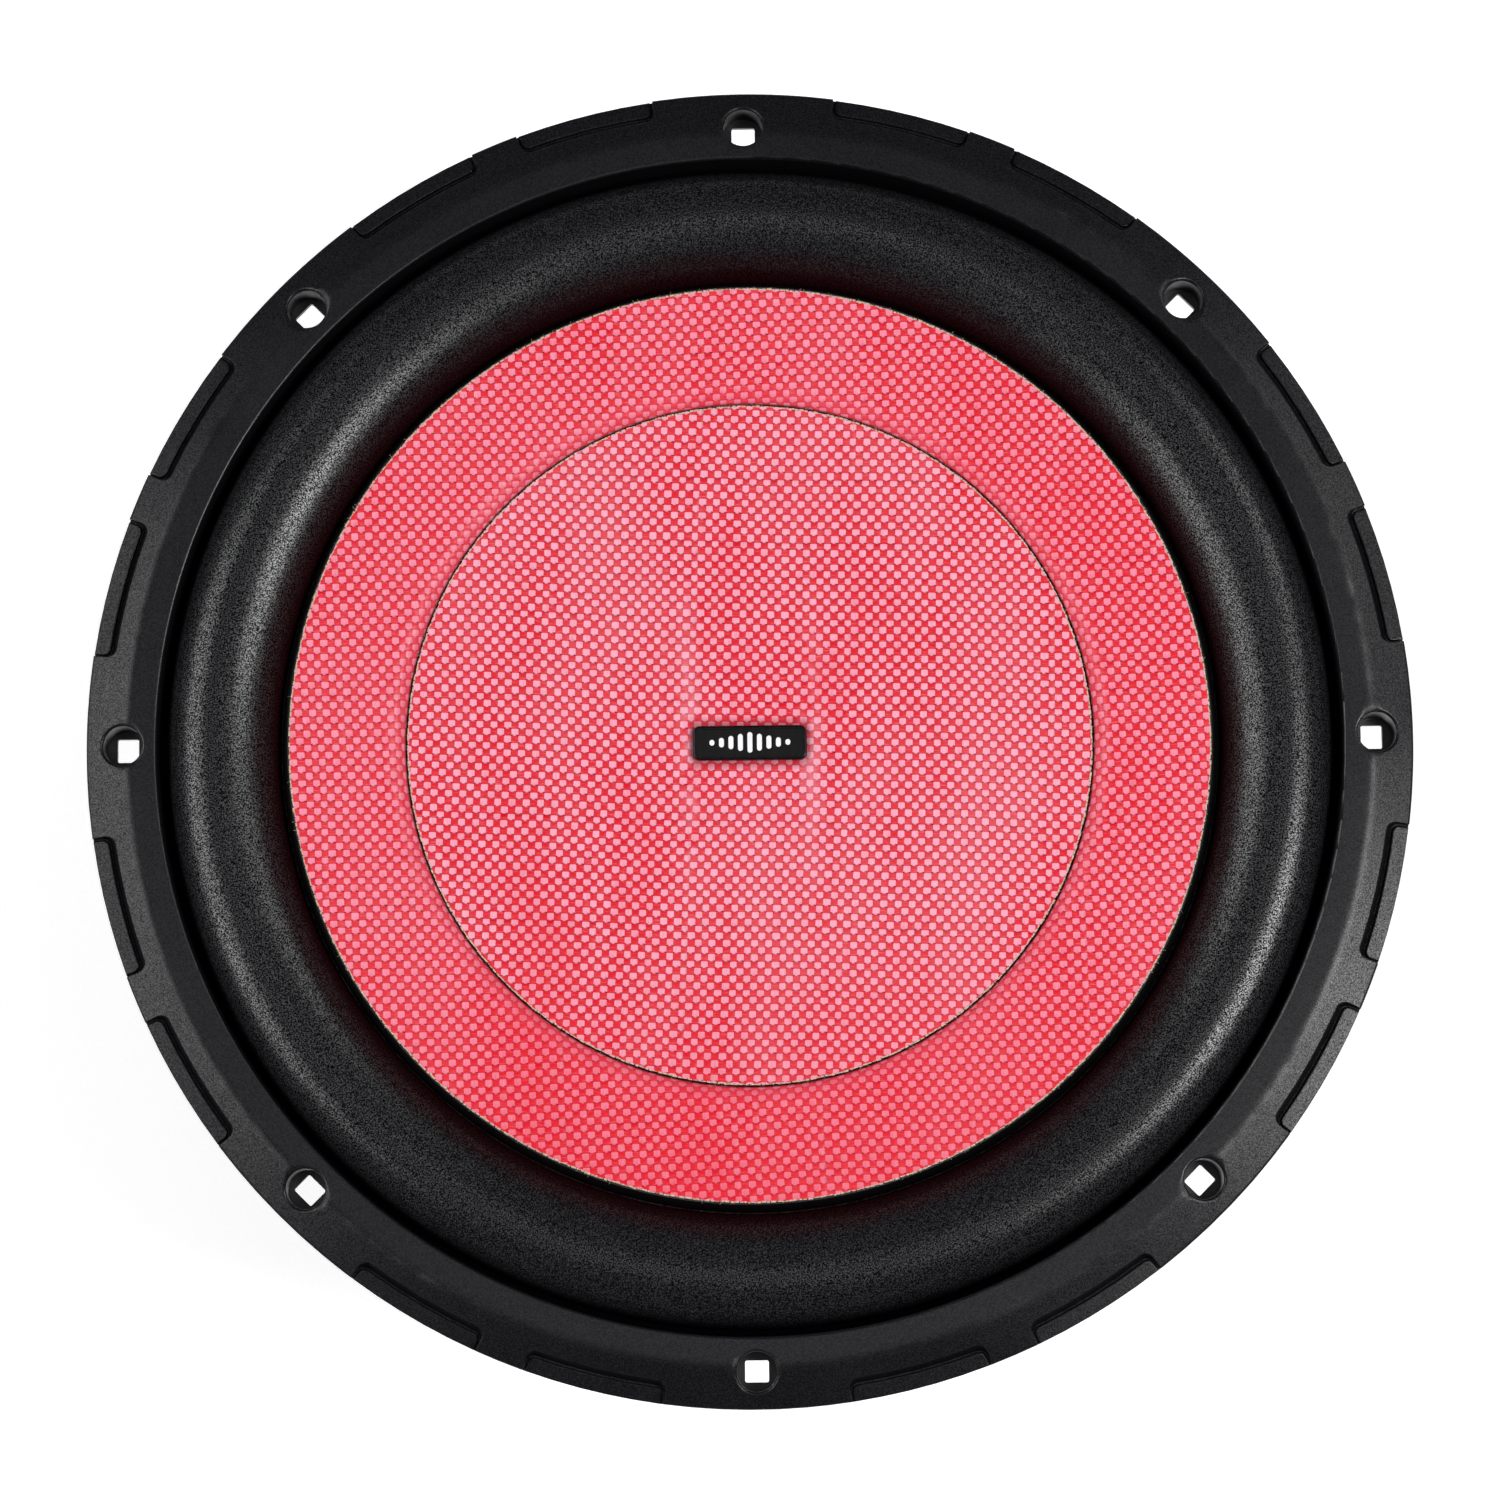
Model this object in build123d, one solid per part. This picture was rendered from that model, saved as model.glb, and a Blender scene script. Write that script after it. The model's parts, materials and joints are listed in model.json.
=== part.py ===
"""A 12-inch car subwoofer driver, in millimetres.

Z is the driver's axis and +Z faces the listener. X is to the right and Y is up when the driver is seen
from the front. The origin is the centre of the screw circle, on the front face of the steel flange.

The moving assembly is the cone, its woven skin, the dust cap, the badge and the voice coil. It slides on
Z, held by the surround at the front and by the spider behind. Four spring-loaded buttons, two on each
terminal block, are pressed in to take the loudspeaker wires.
"""

import os
from math import atan2, cos, degrees, hypot, radians, sin, tan

from build123d import *

# Screw circle and flange
SCREW_COUNT = 8
SCREW_CIRCLE_R = 151.0
SHEET = 1.5  # thickness of the pressed steel basket
SHEET_BEND = 3.0
FLANGE_R = 158.0
SLOT_TANGENTIAL, SLOT_RADIAL, SLOT_CORNER = 5.7, 5.2, 0.5  # the flange's rectangular screw holes
CUTOUT_R = 141.0  # outside of the basket's wall, which drops into the baffle

# Trim ring in front of the flange
RING_INNER_R, RING_OUTER_R = 142.8, 160.0
RING_CREST_R = 149.8  # flat inside this radius, bevelled outside it
RING_TOP = 11.5
RING_RIM_TOP = 8.5  # where the bevel meets the outer edge
RING_SKIRT_R = 158.3
RING_SKIRT_BOTTOM = -1.0
WELL_R = 4.8  # round holes over the screws
WELL_ROUND = 0.6
RING_EDGE_ROUND, RING_CREST_ROUND = 0.7, 3.0

# Pads round the ring: each a low block in a recess of the bevel, with a moat on three sides
PAD_OFFSET = 8.3  # degrees each side of the middle of the gap between two screws
RECESS_HALF, PAD_HALF = 6.2, 5.98  # degrees
RECESS_TOP_R, RECESS_FOOT_R = 153.9, 155.7
MOAT_Z = 6.3
PAD_IN_R = 156.2
PAD_IN_Z, PAD_OUT_Z = 7.6, 6.9
RECESS_CORNER, PAD_CORNER, PAD_EDGE = 2.2, 1.6, 0.3

# Surround, the roll between the cone and the flange
LIP = 1.6  # thickness of the roll and of both its flat lips
LIP_IN_R, LIP_OUT_R = 106.5, 145.8
ROLL_IN_R, ROLL_OUT_R = 113.6, 141.4
ROLL_HEIGHT = 12.9

# Cone
CONE_RIM_R = 111.6
BEAD_BULGE_R, BEAD_BULGE_Z = 0.4, 0.6
SKIN_R = 111.0
SKIN = 0.6
SKIN_EDGE_Z = 8.5
ANNULUS_SLOPE = 5.0  # degrees, falling towards the middle
SHOULDER_R = 88.0
SHOULDER_RADIUS = 6.0
SHOULDER_TURN = 68.0  # degrees of slope where the shoulder ends
WALL = 1.4  # thickness of the moulded cone
LEDGE_Z = 2.4
LEDGE_OUT_R, LEDGE_IN_R = 82.95, 79.5
FOOT_IN_R = 106.5
NECK_Z = -46.0
NECK_OUT_R = 34.2
CONE_ANGLE = 42.0  # degrees of the wall below the ledge

# Dust cap, a shallow dish, and its badge
CAP_R = 82.7
CAP_RIM_Z = 4.0
CAP_SAG = 2.5
CAP_WALL = 0.8
BADGE_LENGTH, BADGE_WIDTH, BADGE_RISE = 27.6, 8.4, 1.7
BADGE_CORNER, BADGE_EDGE = 1.7, 0.5
BAR_COUNT, BAR_PITCH, BAR_WIDTH, BAR_RISE = 9, 2.3, 1.2, 0.35
BAR_SHORT, BAR_LONG = 1.4, 5.0

# Voice coil
FORMER_IN_R, FORMER_OUT_R = 31.75, 32.25
COLLAR_OUT_R = 32.75
WINDING = 0.65  # radial thickness of each of the two coils
COIL_LENGTH = 30.0
FORMER_TOP, FORMER_BELOW_COIL = -38.0, 4.0
COLLAR_BELOW_SPIDER, COLLAR_BELOW_TOP = 6.0, 1.0

# Basket levels
WALL_DEPTH = 13.0
SPIDER_Z = -54.0  # the ledge that the spider is glued to
LEDGE_OUTER, LEDGE_INNER = 91.0, 82.8
CUP_FLOOR_Z = -82.0
CUP_FLOOR_R = 71.0
CUP_HOLE_R = 36.0
SPOKE_COUNT = 8
SPOKE_WIDTH = 20.0
WINDOW_IN_R, WINDOW_OUT_R = 97.0, 133.0
WINDOW_CORNER = 6.0
RIB_WIDTH, RIB_RISE, RIB_LENGTH = 7.0, 2.2, 30.0
CUP_VENT_COUNT, CUP_VENT_R = 8, 6.0

# Spider
SPIDER = 0.7
SPIDER_OUT_R, SPIDER_FLAT_R = 88.0, 83.0
SPIDER_ROLLS = 13  # half waves
SPIDER_ROLL_R = 1.8
SPIDER_NECK_RISE, SPIDER_NECK_BEND = 3.5, 0.9

# Motor
TOP_PLATE_T, TOP_PLATE_R, GAP_OUT_R = 8.0, 72.0, 34.3
MAGNET_T, MAGNET_R, MAGNET_HOLE_R, MAGNET_EDGE = 20.0, 78.0, 40.0, 1.0
YOKE_T, YOKE_R, POLE_R = 8.0, 73.0, 31.25
VENT_R, VENT_SEAT_R, VENT_FLARE = 12.0, 16.0, 4.0
SCREEN_T, SCREEN_HOLE_R, SCREEN_PITCH, SCREEN_ROWS = 0.8, 1.15, 3.4, 3
BOOT_R, BOOT_LIP_T, BOOT_FRONT_LIP_R, BOOT_REAR_LIP_R = 81.0, 2.0, 73.5, 62.0
BOOT_EDGE, GROOVE_DEPTH, GROOVE_WIDTH, GROOVE_PITCH, GROOVE_COUNT = 1.8, 0.6, 1.6, 5.0, 5
RIVET_COUNT, RIVET_CIRCLE_R, RIVET_R, RIVET_HEAD_R = 6, 54.0, 1.9, 4.0
RIVET_DEPTH, RIVET_HEAD, RIVET_DOME = 6.0, 2.2, 1.6

TOP_PLATE_Z = CUP_FLOOR_Z - SHEET
MAGNET_Z = TOP_PLATE_Z - TOP_PLATE_T
YOKE_Z = MAGNET_Z - 2 * MAGNET_T
REAR_Z = YOKE_Z - YOKE_T
COIL_MID_Z = TOP_PLATE_Z - TOP_PLATE_T / 2

# Terminal blocks, in their own frame: x along the block, y up the spoke, z out of the basket
BLOCK_LENGTH, BLOCK_WIDTH, BLOCK_HEIGHT = 34.0, 13.0, 13.0
BLOCK_CORNER, BLOCK_EDGE = 2.5, 1.0
TAB_LENGTH, TAB_WIDTH, TAB_CORNER = 44.0, 24.0, 3.0
BLOCK_SPOKE_R = 114.0  # radius at the middle of the block's seat
BUTTON_X = 9.0
BUTTON_TRAVEL, BUTTON_GAP = 3.0, 0.2  # the gap is left under the cap when it is pressed
BUTTON_BORE_R, BUTTON_SHANK_R, BUTTON_CAP_R, BUTTON_CAP_T = 3.6, 3.5, 4.5, 3.0
BUTTON_FLAT = 2.9  # from the button's axis to the flat that each wire hole faces
BUTTON_EDGE = 0.8
BUTTON_FOOT_Z = 6.3  # the shank's inner end, with the button out
BORE_FLOOR = 1.2
WIRE_R, WIRE_Z = 2.1, 7.5
CONTACT_X, CONTACT_T, CONTACT_WIDTH = 4.0, 0.8, 5.2
CONTACT_TOP, CONTACT_TAIL = 10.5, -6.0
CONTACT_GAP = 0.4  # all round a strip where it passes through the tab
SPRING_R, SPRING_WIRE_R, SPRING_TURNS, SPRING_GAP = 2.6, 0.22, 3.5, 0.01
SCREW_R, SCREW_HEAD_R, SCREW_HEAD, SCREW_DOME, SCREW_PAST_SHEET = 1.6, 3.0, 1.8, 0.8, 3.0
RECESS_LENGTH, RECESS_WIDTH, RECESS_DEPTH = 3.4, 0.7, 0.8

# Tinsel leads
LEAD_R = 1.1
LEAD_ANCHOR_Z = -48.2
LEAD_BESIDE_STRIP = 2.5  # sideways step of a lead between its strip's near face and the collar
LEAD_GAP = 0.15
LEAD_STRAIGHT = 8.0  # first run, straight up from the strip's tail
ANCHOR_PAD, ANCHOR_PAD_OUT = (2.4, 4.2, 2.8), 0.9
BEND_SHARE = 0.45  # of the shorter run that each bend of a lead may take up


def turned(points):
    """The solid swept about Z by a closed polygon of (radius, height) points."""
    return revolve(Plane.XZ * make_face(Polyline(*points, close=True)), Axis.Z)


def turned_outline(edges):
    """The solid swept about Z by a closed chain of edges drawn as (radius, height)."""
    return revolve(Plane.XZ * make_face(edges), Axis.Z)


def tube(r_in, r_out, bottom, top):
    """A plain ring between two radii and two heights."""
    return turned([(r_in, bottom), (r_out, bottom), (r_out, top), (r_in, top)])


def around(shape, count, first=0.0):
    """Copies of a shape, evenly spaced about Z."""
    return [Rot(0, 0, first + 360 / count * i) * shape for i in range(count)]


def arc_point(centre, radius, slope):
    """The point of a convex shoulder where the surface falls inwards at this slope."""
    return (centre[0] - radius * sin(radians(slope)), centre[1] + radius * cos(radians(slope)))


# ---------------------------------------------------------------- trim ring


def trim_ring():
    """The moulded ring in front of the flange: flat inside, bevelled outside, with wells and pads."""
    ring = turned(
        [
            (RING_INNER_R, LIP),
            (RING_INNER_R, RING_TOP),
            (RING_CREST_R, RING_TOP),
            (RING_OUTER_R, RING_RIM_TOP),
            (RING_OUTER_R, RING_SKIRT_BOTTOM),
            (RING_SKIRT_R, RING_SKIRT_BOTTOM),
            (RING_SKIRT_R, 0),
            (LIP_OUT_R, 0),
            (LIP_OUT_R, LIP),
        ]
    )
    rims = ring.edges().filter_by(GeomType.CIRCLE).filter_by(
        lambda e: e.center().Z > RING_RIM_TOP - 1 and abs(e.radius - RING_CREST_R) > 1
    )
    ring = fillet(rims, RING_EDGE_ROUND)
    crest = ring.edges().filter_by(GeomType.CIRCLE).filter_by(
        lambda e: abs(e.radius - RING_CREST_R) < 0.1 and e.center().Z > RING_RIM_TOP
    )
    ring = fillet(crest, RING_CREST_ROUND)
    ring -= around(Pos(SCREW_CIRCLE_R, 0, RING_TOP) * Cylinder(WELL_R, 4 * RING_TOP), SCREW_COUNT)
    walls = ring.faces().filter_by(GeomType.CYLINDER).filter_by(lambda f: abs(f.radius - WELL_R) < 0.1)
    mouths = [e for f in walls for e in f.edges() if e.center().Z > LIP and e.geom_type != GeomType.LINE]
    return fillet(mouths, WELL_ROUND) - pad_moats()


def sector(outline, half_angle):
    """An outline of (radius, height) points swept to an angle each side of X."""
    profile = Plane.XZ * make_face(Polyline(*outline, close=True))
    return Rot(0, 0, -half_angle) * revolve(profile, Axis.Z, 2 * half_angle)


def inner_corners(shape, r_max):
    """The short upright edges at the inner corners of a sector."""
    return [
        e
        for e in shape.edges()
        if hypot(e.center().X, e.center().Y) < r_max and abs(e.center().Y) > 10 and e.length < 12
    ]


def pad_moats():
    """What is taken out of the ring's bevel to leave its sixteen raised pads."""
    above, below, outside = RING_TOP + 2, MOAT_Z - 2, RING_OUTER_R + 2
    lean = (RECESS_FOOT_R - RECESS_TOP_R) / (RING_TOP - MOAT_Z)
    recess = sector(
        [
            (RECESS_TOP_R - lean * (above - RING_TOP), above),
            (RECESS_FOOT_R, MOAT_Z),
            (outside, MOAT_Z),
            (outside, above),
        ],
        RECESS_HALF,
    )
    recess = fillet(inner_corners(recess, RECESS_FOOT_R), RECESS_CORNER)
    fall = (PAD_IN_Z - PAD_OUT_Z) / (RING_OUTER_R - PAD_IN_R)
    pad = sector(
        [
            (PAD_IN_R, below),
            (PAD_IN_R, PAD_IN_Z),
            (outside, PAD_OUT_Z - fall * (outside - RING_OUTER_R)),
            (outside, below),
        ],
        PAD_HALF,
    )
    pad = fillet(inner_corners(pad, PAD_IN_R + 0.5), PAD_CORNER)
    top = pad.faces().sort_by(lambda f: f.center().Z)[-1]
    pad = fillet(top.edges(), PAD_EDGE)
    middle = 180 / SCREW_COUNT
    return [c for turn in (-PAD_OFFSET, PAD_OFFSET) for c in around(recess - pad, SCREW_COUNT, middle + turn)]


# ---------------------------------------------------------------- basket


def basket_line():
    """The corners of the pressed sheet's middle line, from the flange in to the hole over the motor."""
    half = SHEET / 2
    return [
        (FLANGE_R - half, -half),
        (CUTOUT_R - half, -half),
        (CUTOUT_R - half, -WALL_DEPTH),
        (LEDGE_OUTER, SPIDER_Z - half),
        (LEDGE_INNER, SPIDER_Z - half),
        (CUP_FLOOR_R, CUP_FLOOR_Z - half),
        (CUP_HOLE_R + half, CUP_FLOOR_Z - half),
    ]


def spoke_slope():
    """Degrees that the spokes fall towards the middle."""
    (r_top, z_top), (r_low, z_low) = basket_line()[2:4]
    return degrees(atan2(z_top - z_low, r_top - r_low))


def terminal_frame():
    """The seat of the right-hand terminal block: x along Y, y up the spoke, z out of the basket."""
    slope = radians(spoke_slope())
    r_top, z_top = basket_line()[2]
    middle_z = z_top - (r_top - BLOCK_SPOKE_R) * tan(slope)
    outward = Vector(sin(slope), 0, -cos(slope))
    origin = Vector(BLOCK_SPOKE_R, 0, middle_z) + outward * (SHEET / 2)
    return Plane(origin=origin, x_dir=(0, 1, 0), z_dir=outward)


def both_sides(local_shape):
    """A shape drawn in the terminal frame, placed on the right and on the left of the basket."""
    right = terminal_frame() * local_shape
    return {"right": right, "left": Rot(0, 0, 180) * right}


def basket():
    """The pressed steel basket: flange, wall, eight ribbed spokes, spider ledge, cup and floor."""
    middle = FilletPolyline(*basket_line(), radius=SHEET_BEND)
    sheet = offset(middle, SHEET / 2, side=Side.BOTH)
    body = revolve(Plane.XZ * make_face(sheet.edges()), Axis.Z)
    body -= windows()
    body = body + ribs(RIB_WIDTH, RIB_RISE) + list(both_sides(tab()).values())
    body -= ribs(RIB_WIDTH - 2 * SHEET, RIB_RISE - SHEET, lift=-2 * SHEET)
    slot = Pos(SCREW_CIRCLE_R, 0, 0) * Box(SLOT_RADIAL, SLOT_TANGENTIAL, 4 * SHEET)
    body -= around(fillet(slot.edges().filter_by(Axis.Z), SLOT_CORNER), SCREW_COUNT)
    body -= list(both_sides(tab_openings()).values())
    vent = Pos((LEDGE_INNER + CUP_FLOOR_R) / 2, 0, (SPIDER_Z + CUP_FLOOR_Z) / 2) * cup_vent()
    body -= around(vent, CUP_VENT_COUNT, 180 / CUP_VENT_COUNT)
    rivet_hole = Pos(RIVET_CIRCLE_R, 0, CUP_FLOOR_Z) * Cylinder(RIVET_R, 4 * SHEET)
    return body - around(rivet_hole, RIVET_COUNT)


def windows():
    """Prisms along Z that open the space between the spokes."""
    area = Circle(WINDOW_OUT_R) - Circle(WINDOW_IN_R)
    spoke = Pos(WINDOW_OUT_R / 2, 0) * Rectangle(WINDOW_OUT_R + 20, SPOKE_WIDTH)
    area -= around(spoke, SPOKE_COUNT)
    area = fillet(area.vertices(), WINDOW_CORNER)
    return Pos(0, 0, SPIDER_Z - 10) * extrude(area, -SPIDER_Z)


def ribs(width, rise, lift=0.0):
    """Long rounded ribs down the outside of the six plain spokes."""
    pressed = SlotOverall(RIB_LENGTH + width, width)
    depth = rise + SHEET / 2 - lift
    rib = Pos(0, 0, lift) * extrude(pressed, depth)
    slope = radians(spoke_slope())
    r_top, z_top = basket_line()[2]
    middle_r = (WINDOW_IN_R + WINDOW_OUT_R) / 2
    outward = Vector(sin(slope), 0, -cos(slope))
    up_spoke = Vector(cos(slope), 0, sin(slope))
    seat = Plane(
        origin=(middle_r, 0, z_top - (r_top - middle_r) * tan(slope)), x_dir=up_spoke, z_dir=outward
    )
    placed = around(seat * rib, SPOKE_COUNT)
    return [placed[i] for i in range(SPOKE_COUNT) if i % (SPOKE_COUNT // 2)]


def tab():
    """The flat part of a spoke that carries a terminal block."""
    plate = Pos(0, 0, -SHEET / 2) * Box(TAB_LENGTH, TAB_WIDTH, SHEET)
    return fillet(plate.edges().filter_by(Axis.Z), TAB_CORNER)


def tab_openings():
    """The screw hole and the two slots that the contact strips pass through."""
    slot = Box(CONTACT_T + 2 * CONTACT_GAP, CONTACT_WIDTH + 2 * CONTACT_GAP, 8 * SHEET)
    middle = CONTACT_X + CONTACT_T / 2
    return Cylinder(SCREW_R, 8 * SHEET) + [Pos(side * middle, 0, 0) * slot for side in (-1, 1)]


def cup_vent():
    """A round-ended slot through the cup's wall, lying along the wall."""
    slot = SlotOverall(4 * CUP_VENT_R, 2 * CUP_VENT_R)
    return Plane(origin=(0, 0, 0), x_dir=(0, 1, 0), z_dir=(1, 0, 0)) * extrude(slot, 8, both=True)


# ---------------------------------------------------------------- surround and spider


def surround():
    """The half-round roll with its two flat lips."""
    middle = (ROLL_IN_R + ROLL_OUT_R) / 2
    half = (ROLL_OUT_R - ROLL_IN_R) / 2
    outer = EllipticalCenterArc((middle, LIP), half, ROLL_HEIGHT, arc_size=180)
    inner = EllipticalCenterArc((middle, 0), half - LIP, ROLL_HEIGHT, arc_size=180)
    return turned_outline(
        [
            Line((LIP_IN_R, 0), (LIP_IN_R, LIP)),
            Line((LIP_IN_R, LIP), (ROLL_IN_R, LIP)),
            outer,
            Line((ROLL_OUT_R, LIP), (LIP_OUT_R, LIP)),
            Line((LIP_OUT_R, LIP), (LIP_OUT_R, 0)),
            Line((LIP_OUT_R, 0), (ROLL_OUT_R - LIP, 0)),
            inner,
            Line((ROLL_IN_R + LIP, 0), (LIP_IN_R, 0)),
        ]
    )


def spider():
    """The corrugated disc that centres the coil: a neck, a row of half waves and a flat edge."""
    level = SPIDER_Z + SPIDER / 2
    neck_r = COLLAR_OUT_R + SPIDER / 2
    first = SPIDER_FLAT_R - 2 * SPIDER_ROLL_R * SPIDER_ROLLS
    edges = [Line((SPIDER_OUT_R, level), (SPIDER_FLAT_R, level))]
    for i in range(SPIDER_ROLLS):
        start = SPIDER_FLAT_R - 2 * SPIDER_ROLL_R * i
        rise = -SPIDER_ROLL_R if i % 2 else SPIDER_ROLL_R
        crest = (start - SPIDER_ROLL_R, level + rise)
        edges.append(ThreePointArc((start, level), crest, (start - 2 * SPIDER_ROLL_R, level)))
    neck = [(first, level), (neck_r, level), (neck_r, level + SPIDER_NECK_RISE)]
    edges.append(FilletPolyline(*neck, radius=SPIDER_NECK_BEND))
    cloth = offset(Wire([e for line in edges for e in line.edges()]), SPIDER / 2, side=Side.BOTH)
    return revolve(Plane.XZ * make_face(cloth.edges()), Axis.Z)


# ---------------------------------------------------------------- cone and cap


def annulus_z(r, drop=0.0):
    """Height of the skin's sloping face at a radius, or of a face below it."""
    return SKIN_EDGE_Z - (SKIN_R - r) * tan(radians(ANNULUS_SLOPE)) - drop


def shoulder_centre():
    """Centre of the rounded shoulder at the annulus's inner edge."""
    slope = radians(ANNULUS_SLOPE)
    return (
        SHOULDER_R + SHOULDER_RADIUS * sin(slope),
        annulus_z(SHOULDER_R) - SHOULDER_RADIUS * cos(slope),
    )


def shoulder(depth):
    """(start, arc, end) of the shoulder's face at a depth below the skin's face."""
    centre, radius = shoulder_centre(), SHOULDER_RADIUS - depth
    middle = (ANNULUS_SLOPE + SHOULDER_TURN) / 2
    start, mid, end = (arc_point(centre, radius, a) for a in (ANNULUS_SLOPE, middle, SHOULDER_TURN))
    return start, ThreePointArc(start, mid, end), end


def cone_body():
    """The moulded cone: rim skirt and foot, sloping annulus, shoulder, cap ledge, wall and neck."""
    start, arc, end = shoulder(SKIN)
    rise = tan(radians(CONE_ANGLE))
    wall_drop = WALL / cos(radians(CONE_ANGLE))
    rim_top = annulus_z(CONE_RIM_R, SKIN)
    skirt_in = CONE_RIM_R - WALL
    ledge_back = LEDGE_Z - WALL

    def front(r):
        return LEDGE_Z - (LEDGE_IN_R - r) * rise

    back_corner_r = LEDGE_IN_R + (wall_drop - WALL) / rise
    points = [
        end,
        (LEDGE_OUT_R, LEDGE_Z),
        (LEDGE_IN_R, LEDGE_Z),
        (COLLAR_OUT_R, front(COLLAR_OUT_R)),
        (COLLAR_OUT_R, NECK_Z),
        (NECK_OUT_R, NECK_Z),
        (NECK_OUT_R, front(NECK_OUT_R) - wall_drop),
        (back_corner_r, ledge_back),
        (LEDGE_OUT_R + WALL, ledge_back),
        (SHOULDER_R + WALL, annulus_z(SHOULDER_R + WALL, SKIN + WALL)),
        (skirt_in, annulus_z(skirt_in, SKIN + WALL)),
        (skirt_in, LIP + WALL),
        (FOOT_IN_R, LIP + WALL),
        (FOOT_IN_R, LIP),
        (CONE_RIM_R, LIP),
        (CONE_RIM_R, rim_top),
        start,
    ]
    return turned_outline([arc, Polyline(*points)])


def cone_skin():
    """The woven facing over the annulus and down the shoulder."""
    top_start, top_arc, top_end = shoulder(0.0)
    low_start, low_arc, low_end = shoulder(SKIN)
    return turned_outline(
        [
            Line((SKIN_R, annulus_z(SKIN_R)), top_start),
            top_arc,
            Line(top_end, low_end),
            low_arc,
            Line(low_start, (SKIN_R, annulus_z(SKIN_R, SKIN))),
            Line((SKIN_R, annulus_z(SKIN_R, SKIN)), (SKIN_R, annulus_z(SKIN_R))),
        ]
    )


def cap_radius():
    """Radius of the sphere that the dish's front face lies on."""
    return (CAP_R**2 + CAP_SAG**2) / (2 * CAP_SAG)


def dish_z(r, depth=0.0):
    """Height of the dish's front face at a radius, or of a face below it."""
    radius = cap_radius()
    centre_z = CAP_RIM_Z - CAP_SAG + radius
    return centre_z - ((radius + depth) ** 2 - r**2) ** 0.5


def dish_arc(r_in, r_out, depth=0.0):
    """Part of the dish's profile, between two radii."""
    middle = (r_in + r_out) / 2
    ends = [(r, dish_z(r, depth)) for r in (r_in, middle, r_out)]
    return ThreePointArc(*ends)


def dust_cap():
    """The woven cap, a shallow dish."""
    return turned_outline(
        [
            dish_arc(0, CAP_R),
            Line((CAP_R, dish_z(CAP_R)), (CAP_R, dish_z(CAP_R, CAP_WALL))),
            dish_arc(0, CAP_R, CAP_WALL),
            Line((0, dish_z(0, CAP_WALL)), (0, dish_z(0))),
        ]
    )


def cap_adhesive():
    """The black adhesive between the cap's rim and the cone's ledge."""
    return turned_outline(
        [
            Line((LEDGE_IN_R, LEDGE_Z), (CAP_R, LEDGE_Z)),
            Line((CAP_R, LEDGE_Z), (CAP_R, dish_z(CAP_R, CAP_WALL))),
            dish_arc(LEDGE_IN_R, CAP_R, CAP_WALL),
            Line((LEDGE_IN_R, dish_z(LEDGE_IN_R, CAP_WALL)), (LEDGE_IN_R, LEDGE_Z)),
        ]
    )


def edge_bead():
    """The rounded black bead between the cone's rim and the surround."""
    top, foot_r = annulus_z(CONE_RIM_R, SKIN), ROLL_IN_R - 0.1
    bulge = ((CONE_RIM_R + foot_r) / 2 + BEAD_BULGE_R, (top + LIP) / 2 + BEAD_BULGE_Z)
    return turned_outline(
        [
            Line((CONE_RIM_R, LIP), (CONE_RIM_R, top)),
            ThreePointArc((CONE_RIM_R, top), bulge, (foot_r, LIP)),
            Line((foot_r, LIP), (CONE_RIM_R, LIP)),
        ]
    )


def badge_plate():
    """The badge's rounded plate, its back cut to the dish."""
    outline = RectangleRounded(BADGE_LENGTH, BADGE_WIDTH, BADGE_CORNER)
    low = dish_z(0) - 1
    plate = Pos(0, 0, low) * extrude(outline, BADGE_RISE + 1)
    plate = fillet(plate.faces().sort_by(Axis.Z)[-1].edges(), BADGE_EDGE)
    above_dish = Pos(0, 0, dish_z(0) + cap_radius()) * Sphere(cap_radius())
    return plate & above_dish


def badge_bars():
    """Raised upright bars, tallest in the middle, in place of lettering."""
    half = (BAR_COUNT - 1) / 2
    bars = []
    for i in range(BAR_COUNT):
        share = 1 - abs(i - half) / half
        height = BAR_SHORT + (BAR_LONG - BAR_SHORT) * share
        outline = Pos((i - half) * BAR_PITCH, 0, dish_z(0) + BADGE_RISE) * SlotOverall(height, BAR_WIDTH, 90)
        bars.append(extrude(outline, BAR_RISE))
    return Compound(children=bars)


# ---------------------------------------------------------------- voice coil


def coil_span():
    """(bottom, top) of the windings at rest."""
    return COIL_MID_Z - COIL_LENGTH / 2, COIL_MID_Z + COIL_LENGTH / 2


def voice_coil_former():
    """The thin tube that carries the windings."""
    return tube(FORMER_IN_R, FORMER_OUT_R, coil_span()[0] - FORMER_BELOW_COIL, FORMER_TOP)


def winding(layer):
    """One of the two coils, wound one over the other."""
    inner = FORMER_OUT_R + layer * WINDING
    return tube(inner, inner + WINDING, *coil_span())


def former_collar():
    """The stiffening wrap between the windings and the cone."""
    return tube(FORMER_OUT_R, COLLAR_OUT_R, SPIDER_Z - COLLAR_BELOW_SPIDER, FORMER_TOP - COLLAR_BELOW_TOP)


def lead_pads():
    """The four adhesive pads that hold the leads to the collar."""
    pads = []
    for x, y in lead_ends():
        angle = degrees(atan2(y, x))
        blob = Box(*ANCHOR_PAD)
        pad = Rot(0, 0, angle) * Pos(COLLAR_OUT_R + ANCHOR_PAD_OUT, 0, LEAD_ANCHOR_Z) * blob
        core = Pos(0, 0, LEAD_ANCHOR_Z) * Cylinder(COLLAR_OUT_R, 4 * ANCHOR_PAD[2])
        pads.append(pad - core - lead(x, y))
    return Compound(children=pads)


# ---------------------------------------------------------------- motor


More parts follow.
